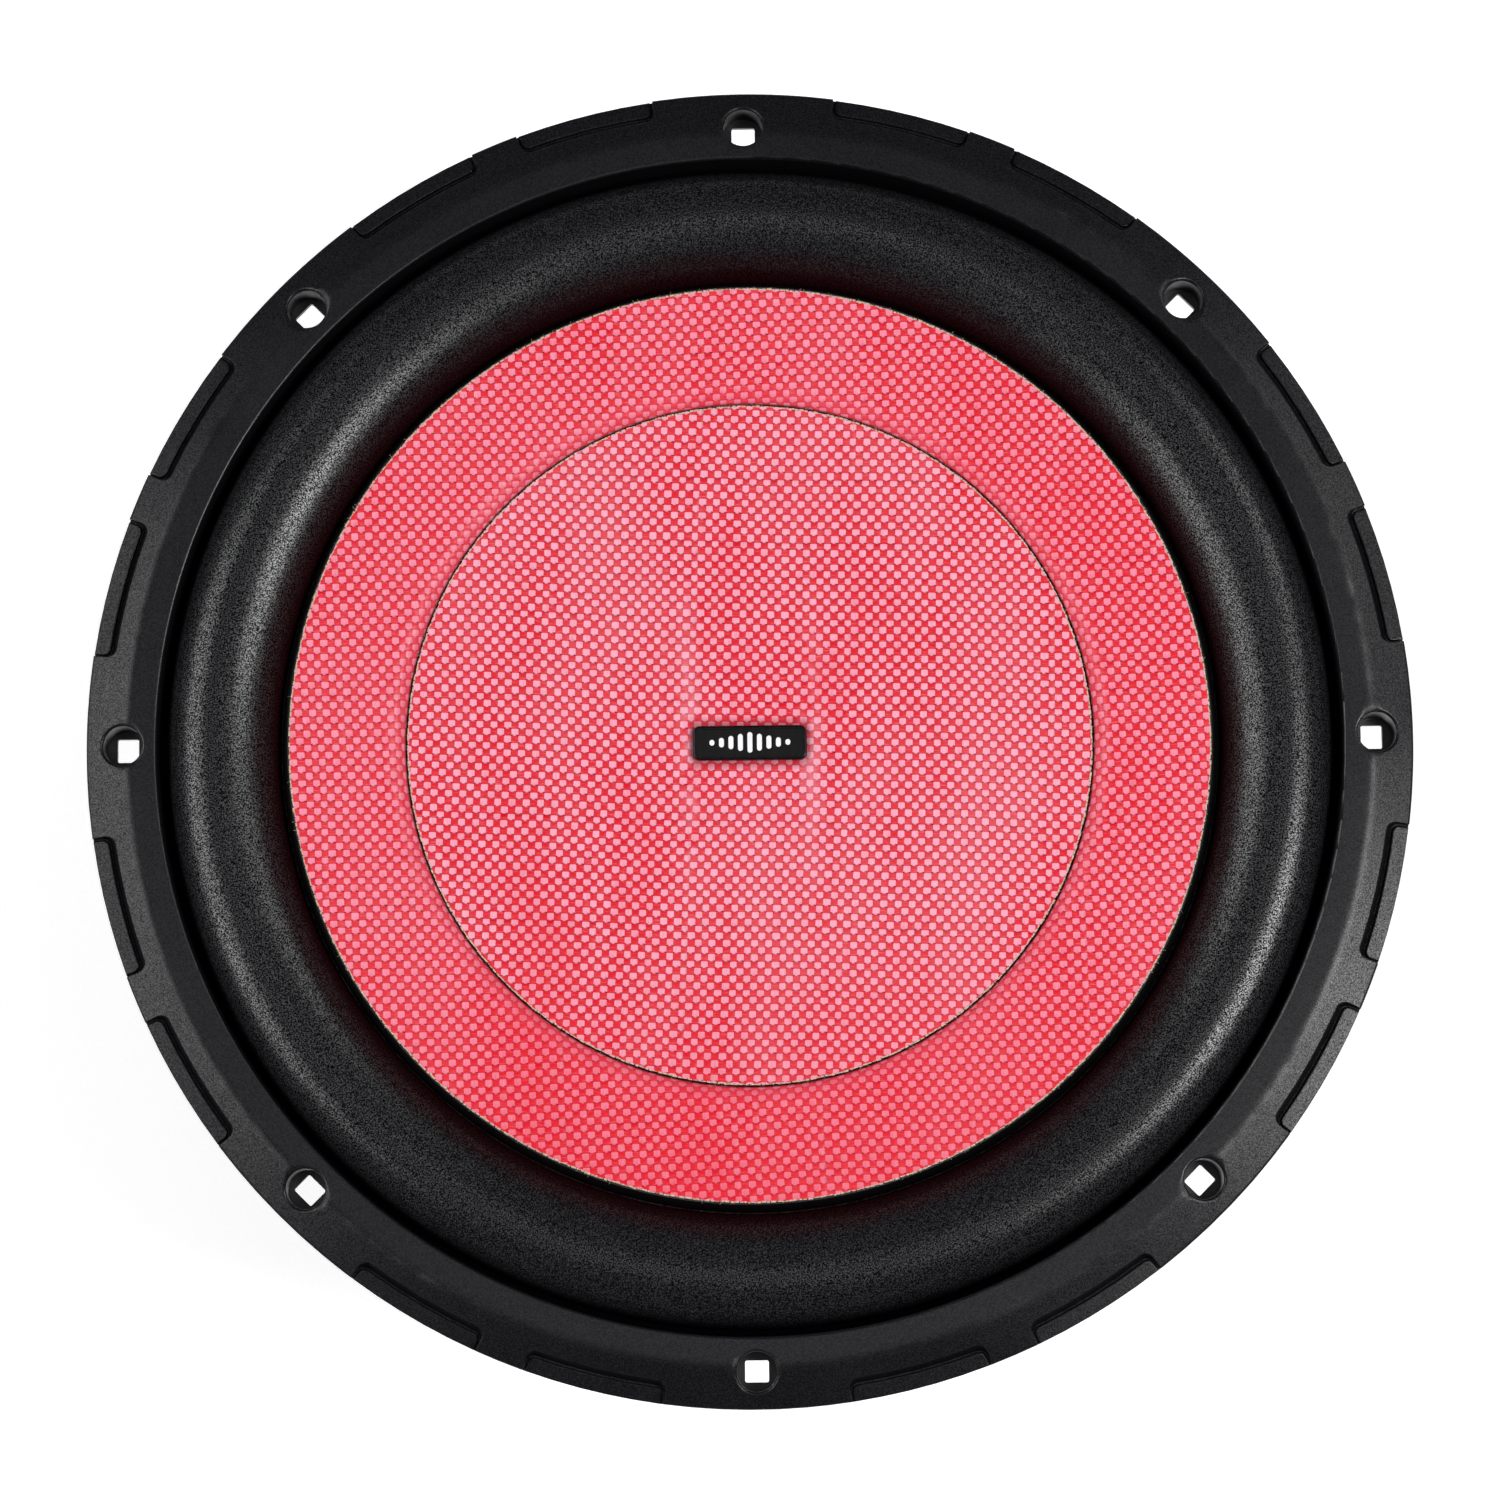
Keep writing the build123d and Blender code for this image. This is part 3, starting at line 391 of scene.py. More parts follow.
def woven(name, warp_painted_highlight_color, weft_color, streaks, painted_light_marks=None):
    """Glass cloth under clear resin. The mesh carries which tow is on top, its shade and its height. The
    colour holds painted light: the warp tows' pink is a painted highlight on the weft's red, with painted
    shade in the hollows and under the warp blocks, a painted highlight on their tops, and less of it
    towards -Y.
    """
    s = Shader(name)
    warp, shade, height = s.attribute("warp"), s.attribute("shade"), s.attribute("rise")
    lattice = s.attribute("lattice", "Vector")
    along_y = s.noise(1.0, 3.0, 0.6, s.scaled((8.0, 0.6, 1.0), lattice))
    along_x = s.noise(1.0, 3.0, 0.6, s.scaled((0.6, 8.0, 1.0), lattice))
    fibres = s.plus(s.times(along_y, warp),
                    s.times(along_x, s.minus(1.0, warp)))
    # Painted highlight: the warp tows on top get a pale pink that stands for their sheen, on the same red
    # as the weft.
    tow = s.mix(warp, weft_color, warp_painted_highlight_color)
    pale = s.mix(0.35, tow, (1.0, 0.76, 0.85))
    tone = s.mix(s.ramp(fibres, 0.45, 0.28, 0.0, 0.45), tow, weft_color)
    tone = s.mix(s.ramp(fibres, 0.52, 0.75, 0.0, 0.7), tone, pale)
    tone = s.mix(s.ramp(shade, 0.35, 1.0, 0.0, 0.22), tone, weft_color)
    cloud = s.noise(26.0, 3.0, 0.6, s.scaled((1.0, 0.45, 1.0)))
    tone = s.mix(s.ramp(cloud, 0.45, 0.75, 0.0, streaks), tone, pale)
    # Painted shade in the hollows between tows: darker red where the tows sink, near black at the cell
    # corners.
    tone = s.mix(s.ramp(height, 0.70, 0.20, 0.0, 0.60), tone, (0.66, 0.004, 0.018))
    tone = s.mix(s.ramp(height, 0.24, 0.04, 0.0, 0.55), tone, (0.10, 0.0, 0.005))
    across, up = (s.math("FRACT", s.axis(k, lattice)) for k in (0, 1))
    # Painted highlight: each warp block is paler towards its top end.
    tone = s.mix(s.times(warp, s.ramp(up, 0.35, 0.95, 0.0, 0.38)), tone, pale)
    # Painted shadow: near black at the lower corners of each warp block.
    side = s.ramp(s.size_of(s.minus(across, 0.45)), 0.10, 0.34)
    under = s.times(s.times(warp, side), s.ramp(up, 0.22, 0.09))
    tone = s.mix(s.times(under, 0.95), tone, (0.02, 0.0, 0.001))
    # Less painted highlight towards -Y: the tones fade to the weft's red there.
    painted_sheen_fade_low_y = s.ramp(s.axis(1), -0.040, -0.105, 0.0, 0.38)
    tone = s.mix(painted_sheen_fade_low_y, tone, weft_color)
    tone = s.mix(s.ramp(cloud, 0.46, 0.30, 0.0, 0.30), tone, weft_color)
    if painted_light_marks:
        tone = painted_light_marks(s, tone)
    grain = s.bump(fibres, 0.00005, 0.7)
    resin = s.bump(s.noise(160.0, 2.0), 0.0004, 0.25)
    shine = s.ramp(height, 0.10, 0.55, 0.02, 0.28)
    coat = s.ramp(height, 0.10, 0.55, 0.0, 0.14)
    return s.finish(color=tone, roughness=0.45, specular=shine, normal=grain,
                    coat=coat, coat_roughness=0.25, coat_normal=resin)


def painted_rim_light_and_shadow(s, tone):
    """The cloth beside the dust cap: brighter with painted light, and a black painted shadow under the
    cap's edge.
    """
    radius = s.radius()
    # Painted light: pinker and brighter in the few millimetres next to the cap.
    tone = s.mix(s.ramp(radius, CAP_R + 0.0055, CAP_R + 0.0015, 0.0, 0.30), tone, (1.0, 0.13, 0.19))
    # Painted shadow: black in the last half millimetre by the cap's edge.
    return s.mix(s.ramp(radius, CAP_R + 0.0010, CAP_R + 0.0005), tone, (0.006, 0.002, 0.002))


def painted_badge_shade_and_streaks(s, tone):
    """The cloth round the badge: a dark painted shade along its top and bottom edges, and pale painted
    highlight streaks over frayed fibres, running up and down from both ends.
    """
    x, y = s.size_of(s.axis(0)), s.size_of(s.axis(1))
    rough = s.noise(190.0, 3.0, 0.65)
    # Painted shade: a dark band along the badge's top and bottom edges.
    rows = s.times(s.ramp(y, 0.0068, 0.0050), s.ramp(x, 0.0152, 0.0135))
    tone = s.mix(s.times(rows, 0.62), tone, (0.30, 0.004, 0.012))
    # Painted highlight streaks over frayed fibres: pale, in noisy bands up and down from the badge's ends.
    band = s.times(s.ramp(s.size_of(s.minus(x, 0.0150)), 0.0038, 0.0002),
                  s.ramp(y, 0.0420, 0.0060))
    fray_and_painted_streak = s.times(band, s.ramp(rough, 0.38, 0.66))
    return s.mix(s.times(fray_and_painted_streak, 0.32), tone, (1.0, 0.56, 0.65))


def cream_fibre():
    """Cut ends of bare glass tows."""
    s = Shader("cut_tow_ends")
    strands = s.noise(5200.0, 2.0)
    tone = s.mix(s.ramp(strands, 0.35, 0.65), (0.42, 0.27, 0.18), (0.90, 0.78, 0.60))
    return s.finish(color=tone, roughness=0.6, normal=s.bump(strands, 0.00005))


def adhesive():
    """Black glue that has flowed and set: glossy, with slow waves."""
    s = Shader("bead_adhesive")
    waves = s.noise(120.0, 3.0)
    return s.finish(color=(0.004, 0.004, 0.0045), roughness=s.ramp(waves, 0.3, 0.7, 0.10, 0.22),
                    specular=0.6, normal=s.bump(waves, 0.0006, 0.6))


def powder_coat(name, color, roughness=0.38):
    """Pressed steel under a textured powder coat."""
    s = Shader(name)
    peel = s.noise(900.0, 3.0, 0.6)
    broad = s.noise(22.0, 3.0)
    tone = s.mix(s.ramp(peel, 0.4, 0.7), color, tuple(c * 1.7 + 0.002 for c in color))
    return s.finish(color=tone, roughness=s.ramp(broad, 0.3, 0.7, roughness - 0.05, roughness + 0.08),
                    specular=0.5, coat=0.25, coat_roughness=0.3, normal=s.bump(peel, 0.00009, 0.8))


def turned_steel(name, color, roughness, metallic):
    """Steel turned on a lathe: fine circles round Z and faint blotches in the plating."""
    s = Shader(name)
    rings = s.node("TexWave", Vector=s.coords, Scale=700.0, Distortion=0.6, Detail=1.0,
                   settings={"wave_type": "RINGS", "rings_direction": "Z"})
    blotch = s.noise(60.0, 4.0, 0.6)
    tone = s.mix(s.ramp(blotch, 0.35, 0.7), color, tuple(c * 1.45 for c in color))
    return s.finish(color=tone, metallic=metallic, normal=s.bump(rings, 0.00002, 0.7),
                    roughness=s.ramp(blotch, 0.3, 0.7, roughness - 0.05, roughness + 0.08))


def sintered():
    """Ground ferrite."""
    s = Shader("ferrite")
    grit = s.noise(1800.0, 3.0, 0.7)
    tone = s.mix(s.ramp(grit, 0.4, 0.65), (0.018, 0.018, 0.019), (0.045, 0.045, 0.047))
    return s.finish(color=tone, roughness=0.55, normal=s.bump(grit, 0.00006))


def wire(name, color, roughness):
    """Bright or enamelled metal with drawing marks."""
    s = Shader(name)
    marks = s.noise(1500.0, 3.0, 0.6)
    tone = s.mix(s.ramp(marks, 0.35, 0.7), color, tuple(min(1.0, c * 1.3) for c in color))
    return s.finish(color=tone, metallic=1.0, normal=s.bump(marks, 0.00002, 0.6),
                    roughness=s.ramp(marks, 0.3, 0.7, roughness - 0.06, roughness + 0.08))


def dipped_cloth():
    """The spider: plain cotton weave stiffened with amber resin."""
    s = Shader("spider_cloth")
    across = s.node("TexWave", Vector=s.coords, Scale=620.0, Distortion=1.2, Detail=1.0,
                    settings={"wave_type": "BANDS", "bands_direction": "X"})
    up = s.node("TexWave", Vector=s.coords, Scale=620.0, Distortion=1.2, Detail=1.0,
                settings={"wave_type": "BANDS", "bands_direction": "Y"})
    threads = s.math("MAXIMUM", across, up)
    resin = s.noise(70.0, 4.0)
    tone = s.mix(s.ramp(threads, 0.2, 1.0), (0.20, 0.10, 0.025), (0.62, 0.40, 0.13))
    tone = s.mix(s.ramp(resin, 0.4, 0.7, 0.0, 0.5), tone, (0.38, 0.21, 0.06))
    return s.finish(color=tone, roughness=0.6, specular=0.35, normal=s.bump(threads, 0.00012, 0.8))


def kraft():
    """The paper wrap on the coil former."""
    s = Shader("collar_paper")
    pulp = s.noise(900.0, 4.0, 0.65, s.scaled((1.0, 1.0, 0.3)))
    tone = s.mix(s.ramp(pulp, 0.35, 0.7), (0.20, 0.105, 0.045), (0.34, 0.20, 0.10))
    return s.finish(color=tone, roughness=0.72, normal=s.bump(pulp, 0.00006))


def gloss(name, color, roughness=0.16, specular=0.5, coat=0.4):
    """A polished moulding with hairline marks."""
    s = Shader(name)
    marks = s.noise(700.0, 3.0, 0.6, s.scaled((1.0, 0.15, 1.0)))
    tone = s.mix(s.ramp(marks, 0.45, 0.75), color, tuple(min(1.0, c * 1.15 + 0.002) for c in color))
    return s.finish(color=tone, roughness=s.ramp(marks, 0.3, 0.7, roughness, roughness + 0.1),
                    specular=specular, coat=coat, coat_roughness=0.08, normal=s.bump(marks, 0.00001, 0.5))


def pale_floor():
    """A plain pale studio floor."""
    s = Shader("studio_floor")
    soft = s.noise(3.0, 2.0)
    tone = s.mix(s.ramp(soft, 0.3, 0.7), (0.86, 0.86, 0.87), (0.90, 0.90, 0.90))
    return s.finish(color=tone, roughness=0.8, specular=0.2, normal=s.bump(s.noise(900.0, 2.0), 0.00005),
                    glow_color=tone, glow=0.58)


M = {
    "ring": ring_rubber(),
    "foam": foam(),
    "bead": adhesive(),
    # In each woven material the first colour is the warp tows' pink painted highlight, and the second the
    # red of the cloth.
    "annulus": woven("woven_red_cone", (0.94, 0.235, 0.345), (0.78, 0.003, 0.020), 0.16, painted_rim_light_and_shadow),
    "cap": woven("woven_red_cap", (0.95, 0.360, 0.485), (0.76, 0.004, 0.022), 0.28, painted_badge_shade_and_streaks),
    "fibre": cream_fibre(),
    "cone": moulded("cone_moulding", (0.010, 0.010, 0.011), 0.50),
    "badge": gloss("badge_black", (0.003, 0.003, 0.0035), 0.22, 0.25, 0.0),
    "silver": gloss("badge_silver", (0.92, 0.92, 0.93), 0.35),
    "basket": powder_coat("basket_steel", (0.010, 0.010, 0.011)),
    "steel": turned_steel("motor_steel", (0.060, 0.060, 0.066), 0.34, 0.75),
    "ferrite": sintered(),
    "boot": moulded("boot_rubber", (0.010, 0.010, 0.011), 0.42, dust=0.006),
    "former": wire("former_metal", (0.60, 0.60, 0.62), 0.32),
    "copper": wire("copper_wire", (0.62, 0.20, 0.07), 0.26),
    "paper": kraft(),
    "spider": dipped_cloth(),
    "zinc": wire("zinc_fastener", (0.62, 0.62, 0.60), 0.28),
    "plastic": moulded("terminal_plastic", (0.012, 0.012, 0.013), 0.42),
    "red": gloss("button_red", (0.55, 0.008, 0.010)),
    "black": gloss("button_black", (0.010, 0.010, 0.011)),
    "contact": wire("contact_plate", (0.72, 0.69, 0.60), 0.25),
    "spring": wire("spring_steel", (0.55, 0.55, 0.57), 0.25),
    "tinsel": wire("tinsel", (0.62, 0.46, 0.30), 0.34),
}


# ---------------------------------------------------------------- woven facings


def annulus_profile(steps=60):
    """(unrolled radius, radius, height, slope) down the cone's facing, from its inner end to its edge."""
    flat_end = SKIN_EDGE_Z - (SKIN_R - SHOULDER_R) * math.tan(ANNULUS_SLOPE)
    centre_r = SHOULDER_R + SHOULDER_RADIUS * math.sin(ANNULUS_SLOPE)
    centre_z = flat_end - SHOULDER_RADIUS * math.cos(ANNULUS_SLOPE)
    rows = []
    for k in range(steps, -1, -1):
        slope = ANNULUS_SLOPE + (SHOULDER_TURN - ANNULUS_SLOPE) * k / steps
        run = SHOULDER_RADIUS * (slope - ANNULUS_SLOPE)
        r = centre_r - SHOULDER_RADIUS * math.sin(slope)
        z = centre_z + SHOULDER_RADIUS * math.cos(slope)
        rows.append((SHOULDER_R - run, r, z, slope))
    rows.append((SKIN_R, SKIN_R, SKIN_EDGE_Z, ANNULUS_SLOPE))
    return np.array(rows).T


def cap_profile(steps=80):
    """The same for the dust cap, a shallow dish."""
    radius = (CAP_R**2 + CAP_SAG**2) / (2 * CAP_SAG)
    rows = []
    for k in range(steps + 1):
        r = CAP_R * k / steps
        z = CAP_RIM_Z - CAP_SAG + radius - math.sqrt(radius**2 - r**2)
        rows.append((r, r, z, math.asin(r / radius)))
    return np.array(rows).T


def woven_sheet(name, profile, turn, seed, material):
    """A plain weave laid on a surface of revolution. Each lattice cell is the tow that is on top there."""
    unrolled, radius, height, slope = profile
    inner, outer = unrolled[0], unrolled[-1]
    rng = np.random.default_rng(seed)
    cells = 2 * math.ceil(outer / TOW) + 2
    n = 3 * cells + 1
    index = np.arange(n)
    cell, part = index // 3, index % 3
    cell_x, cell_y = np.meshgrid(cell, cell, indexing="ij")
    part_x, part_y = np.meshgrid(part, part, indexing="ij")
    warp_on_top = (cell_x + cell_y) % 2 == 0
    inside = (part_x > 0) & (part_y > 0)
    on_edge = (part_x > 0) ^ (part_y > 0)
    wide, narrow, edge = (0.13, 0.87), (0.24, 0.76), (0.20, 0.80)

    def offsets(part_here, is_wide):
        low = np.where(inside, np.where(is_wide, wide[0], narrow[0]), edge[0])
        high = np.where(inside, np.where(is_wide, wide[1], narrow[1]), edge[1])
        return np.where(part_here == 0, 0.0, np.where(part_here == 1, low, high))

    u = cell_x + offsets(part_x, warp_on_top)
    v = cell_y + offsets(part_y, ~warp_on_top)
    rise = np.where(inside, 1.0, np.where(on_edge, 0.42, 0.0))
    tow_lift = rng.uniform(0.82, 1.12, (cells + 1, cells + 1))
    rise = rise * np.where(inside, tow_lift[cell_x, cell_y], 1.0)

    x, y = (u - cells / 2) * TOW, (v - cells / 2) * TOW
    phase = rng.uniform(0, 2 * math.pi, 6)
    x = x + WANDER * np.sin(y / 0.019 + phase[0]) + RIPPLE * np.sin(y / 0.0072 + x / 0.03 + phase[1])
    y = y + WANDER * np.sin(x / 0.021 + phase[2]) + RIPPLE * np.sin(x / 0.0081 + y / 0.03 + phase[3])
    tow_shift = rng.normal(0, TOW_SHIFT, (2, cells + 1))
    slack = rng.normal(0, CELL_SLACK, (2, cells + 1, cells + 1))
    x = x + tow_shift[0][cell_x] + np.where(inside, slack[0][cell_x, cell_y], 0.0)
    y = y + tow_shift[1][cell_y] + np.where(inside, slack[1][cell_x, cell_y], 0.0)

    flat_r = np.hypot(x, y)
    kept = (flat_r >= inner) & (flat_r <= outer)
    quad_kept = kept[:-1, :-1] | kept[1:, :-1] | kept[:-1, 1:] | kept[1:, 1:]
    rim = ~kept
    angle = np.arctan2(y, x) + turn
    flat_r = np.clip(flat_r, inner, outer)
    lift = TOW_HEIGHT * (rise - 1.0)
    lift = np.where(rim, -0.4 * TOW_HEIGHT, lift)
    r = np.interp(flat_r, unrolled, radius)
    z = np.interp(flat_r, unrolled, height)
    tilt = np.interp(flat_r, unrolled, slope)
    r = r - lift * np.sin(tilt)
    z = z + lift * np.cos(tilt)

    ids = index[:, None] * n + index[None, :]
    corners = np.stack([ids[:-1, :-1], ids[1:, :-1], ids[1:, 1:], ids[:-1, 1:]], -1)[quad_kept]
    used, packed = np.unique(corners, return_inverse=True)
    packed = packed.reshape(corners.shape)
    points = np.stack([r * np.cos(angle), r * np.sin(angle), z], -1).reshape(-1, 3)[used]
    sheet = mesh_object(name, points.tolist(), packed.tolist(), material)
    mesh = sheet.data

    shades = rng.uniform(0, 1, (cells + 1, cells + 1)) ** 1.6
    quad_cell_x, quad_cell_y = cell_x[:-1, :-1][quad_kept], cell_y[:-1, :-1][quad_kept]
    if len(mesh.polygons) == len(corners):
        warp = ((quad_cell_x + quad_cell_y) % 2 == 0).astype(np.float32)
        mesh.attributes.new("warp", "FLOAT", "FACE").data.foreach_set("value", warp)
        shade = shades[quad_cell_x, quad_cell_y].astype(np.float32)
        mesh.attributes.new("shade", "FLOAT", "FACE").data.foreach_set("value", shade)
    else:
        raise ValueError(f"{name}: {len(corners) - len(mesh.polygons)} quads were dropped")
    risen = np.clip(rise, 0, 1).reshape(-1)[used].astype(np.float32)
    mesh.attributes.new("rise", "FLOAT", "POINT").data.foreach_set("value", risen)
    lattice = np.stack([u, v, np.zeros_like(u)], -1).reshape(-1, 3)[used].astype(np.float32)
    mesh.attributes.new("lattice", "FLOAT_VECTOR", "POINT").data.foreach_set("vector", lattice.ravel())
    return sheet


def cut_ends(name, radius, z, seed, lift=0.0001):
    """The pale cut ends of the tows round a trimmed edge, with a few loose fibres."""
    rng = random.Random(seed)
    parts = []
    angle = 0.0
    while angle < 2 * math.pi:
        span = rng.uniform(0.0005, 0.0013) / radius
        across = rng.uniform(0.00018, 0.00030)
        r = radius + rng.uniform(-0.00009, 0.00007)
        height = z + lift + rng.uniform(-0.00018, 0.00004)
        points = [Vector((r * math.cos(angle + span * k / 2), r * math.sin(angle + span * k / 2), height))
                  for k in range(3)]
        parts.append(tube_along(points, across, 5))
        angle += span * rng.uniform(0.95, 1.35)
    for _ in range(LOOSE_FIBRES):
        a = rng.uniform(0, 2 * math.pi)
        start = Vector((radius * math.cos(a), radius * math.sin(a), z + 0.0001))
        lean = rng.uniform(-1.2, 1.2)
        way = Vector((math.cos(a + lean), math.sin(a + lean), rng.uniform(0.0, 0.35)))
        length = rng.uniform(0.0004, 0.0011)
        parts.append(tube_along([start, start + way * length * 0.5, start + way * length], 0.00003, 3))
    return mesh_object(name, *joined(parts), M["fibre"])


def cone_facing():
    """The woven ring on the cone, with its cut edge."""
    annulus = woven_sheet("woven_annulus", annulus_profile(), math.radians(2.0), 11, M["annulus"])
    place(annulus, "cone", "woven_red", "cone_skin")
    place(cut_ends("annulus_cut_edge", SKIN_R + 0.00004, SKIN_EDGE_Z - 0.00025, 21), "cone", "woven_red")


def cap():
    """The woven dust cap, with its cut edge."""
    dish = woven_sheet("woven_dust_cap", cap_profile(), math.radians(-2.2), 12, M["cap"])
    place(dish, "cone", "woven_red", "dust_cap")
    place(cut_ends("cap_cut_edge", CAP_R + 0.00004, CAP_RIM_Z - 0.00025, 22), "cone", "woven_red")


# ---------------------------------------------------------------- surround, bead and spider


def radial_blend(piece):
    """Bakes a ring's placement into its mesh."""
    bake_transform(piece)


def surround():
    """The half roll and its two lips."""
    middle, half = (ROLL_IN_R + ROLL_OUT_R) / 2, (ROLL_OUT_R - ROLL_IN_R) / 2
    steps = 44
    profile = [(LIP_OUT_R, 0.0), (LIP_OUT_R, LIP), (ROLL_OUT_R + 0.0012, LIP)]
    for k in range(steps + 1):
        a = math.pi * k / steps
        shift = CREST_SHIFT * math.sin(a)**2
        profile.append((middle + half * math.cos(a) + shift, LIP + ROLL_HEIGHT * math.sin(a)))
    profile += [(ROLL_IN_R - 0.0004, LIP), (LIP_IN_R, LIP), (LIP_IN_R, 0.0)]
    for k in range(steps, -1, -1):
        a = math.pi * k / steps
        shift = CREST_SHIFT * math.sin(a)**2
        profile.append((middle + (half - LIP) * math.cos(a) + shift, ROLL_HEIGHT * math.sin(a)))
    roll = lathe("foam_surround", profile, M["foam"], segments=360, sharp=50)
    radial_blend(roll)
    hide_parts("surround")


def bead():
    """The glue that covers the cone's rim, with slow uneven waves."""
    top = SKIN_EDGE_Z - SHEET_T - (SKIN_R - CONE_RIM_R) * math.tan(ANNULUS_SLOPE)
    foot = ROLL_IN_R - 0.00015
    steps = 9
    profile = [(CONE_RIM_R - 0.0003, LIP + 0.0001), (CONE_RIM_R - 0.0003, top)]
    for k in range(1, steps):
        t = k / steps
        swell = BEAD_SWELL * math.sin(math.pi * t)
        profile.append((CONE_RIM_R + (foot - CONE_RIM_R) * t + swell * 0.5,
                        top + (LIP - top) * t + swell))
    profile.append((foot, LIP + 0.0001))
    rng = random.Random(5)
    waves = [(rng.randint(5, 60), rng.uniform(0, 6.28), rng.uniform(0.2, 1.0)) for _ in range(9)]

    def ripple(angle, index):
        if index < 2 or index > steps:
            return 0.0, 0.0
        swell = sum(size * math.sin(n * angle + phase) for n, phase, size in waves) * BEAD_WAVE
        return swell * 0.3, swell

    place(lathe("glue_bead", profile, M["bead"], 360, 60, ripple), "cone", "bead_adhesive", "edge_bead")


def spider():
    """The corrugated disc."""
    level = SPIDER_Z + SPIDER_T / 2
    first = SPIDER_FLAT_R - 2 * SPIDER_ROLL_R * SPIDER_ROLLS
    middle = [(SPIDER_OUT_R, level), (SPIDER_FLAT_R, level)]
    per_roll = 9
    for k in range(1, SPIDER_ROLLS * per_roll + 1):
        t = k / per_roll
        wave = math.sin(math.pi * t)
        middle.append((SPIDER_FLAT_R - 2 * SPIDER_ROLL_R * t, level + SPIDER_ROLL_R * 0.92 * wave))
    neck = NECK_R + SPIDER_T / 2
    middle += [(first - 0.0010, level), (neck + 0.0008, level + 0.0001), (neck, level + 0.0009),
               (neck, level + 0.0035)]
    front, back = [], []
    for k, (r, z) in enumerate(middle):
        r0, z0 = middle[max(k - 1, 0)]
        r1, z1 = middle[min(k + 1, len(middle) - 1)]
        length = math.hypot(r1 - r0, z1 - z0)
        nr, nz = (z1 - z0) / length, (r0 - r1) / length
        front.append((r + nr * SPIDER_T / 2, z + nz * SPIDER_T / 2))
        back.append((r - nr * SPIDER_T / 2, z - nz * SPIDER_T / 2))
    disc = lathe("spider_disc", front + back[::-1], M["spider"], 192, 60)
    radial_blend(disc)
    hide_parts("spider")


# ---------------------------------------------------------------- badge


def badge():
    """A raised rim line round the badge's face."""
    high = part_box("badge_plate")[1]
    inset, half_width, rise = 0.00075, 0.00022, 0.00022
    x, y, corner = high.x - inset, high.y - inset, 0.0011
    path = []
    for cx, cy, start in ((x, y, 0), (-x, y, 90), (-x, -y, 180), (x, -y, 270)):
        sx, sy = math.copysign(corner, cx), math.copysign(corner, cy)
        for k in range(9):
            a = math.radians(start + 90 * k / 8)
            path.append((cx - sx + corner * math.cos(a), cy - sy + corner * math.sin(a), a))
    half_top, sunk = half_width * 0.6, 0.0001
    section = [(-half_width, -sunk), (-half_top, rise), (half_top, rise), (half_width, -sunk)]
    verts, faces = [], []
    for px, py, a in path:
        for off, z in section:
            verts.append((px + off * math.cos(a), py + off * math.sin(a), high.z + z))
    count = len(section)
    for k in range(len(path)):
        here, there = k * count, (k + 1) % len(path) * count
        for i in range(count):
            j = (i + 1) % count
            faces.append((here + i, there + i, there + j, here + j))
    place(mesh_object("badge_rim_line", verts, faces, M["badge"], 40), "cone", "badge_black")


# ---------------------------------------------------------------- coil, leads and springs


def windings():
    """Each coil as its turns of round wire, seen as ridges."""
    pitch = WINDING_PITCH
    for node in ("voice_coil_inner_winding", "voice_coil_outer_winding"):
        low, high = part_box(node)
        outer = high.x
        inner = outer - WINDING_T
        turns = int((high.z - low.z) / pitch)
        profile = [(inner, high.z), (outer - pitch / 2, high.z)]
        for k in range(turns):
            top = high.z - k * pitch
            for share, out in ((0.15, 0.55), (0.5, 1.0), (0.85, 0.55)):
                profile.append((outer - pitch / 2 * (1 - out), top - share * pitch))
        profile += [(outer - pitch / 2, low.z), (inner, low.z)]
        place(lathe(node + "_turns", profile[::-1], M["copper"], 96, 80), "cone", "copper_wire", node)


def smooth_line(points, steps=110):
    """Evenly many points on a smooth curve held by these control points."""
    curve = bpy.data.curves.new("route", "CURVE")
    curve.dimensions = "3D"
    spline = curve.splines.new("NURBS")
    spline.points.add(len(points) - 1)
    for point, p in zip(spline.points, points):
        point.co = (*p, 1.0)
    spline.order_u = 3
    spline.use_endpoint_u = True
    spline.resolution_u = 24
    holder = bpy.data.objects.new("route", curve)
    mesh = bpy.data.meshes.new_from_object(holder)
    raw = [v.co.copy() for v in mesh.vertices]
    bpy.data.objects.remove(holder)
    bpy.data.curves.remove(curve)
    bpy.data.meshes.remove(mesh)
    run = [0.0]
    for a, b in zip(raw, raw[1:]):
        run.append(run[-1] + (b - a).length)
    found = []
    for k in range(steps + 1):
        at = run[-1] * k / steps
        i = min(max(j for j, s in enumerate(run) if s <= at), len(raw) - 2)
        share = (at - run[i]) / max(run[i + 1] - run[i], 1e-9)
        found.append(raw[i].lerp(raw[i + 1], min(share, 1.0)))
    return found


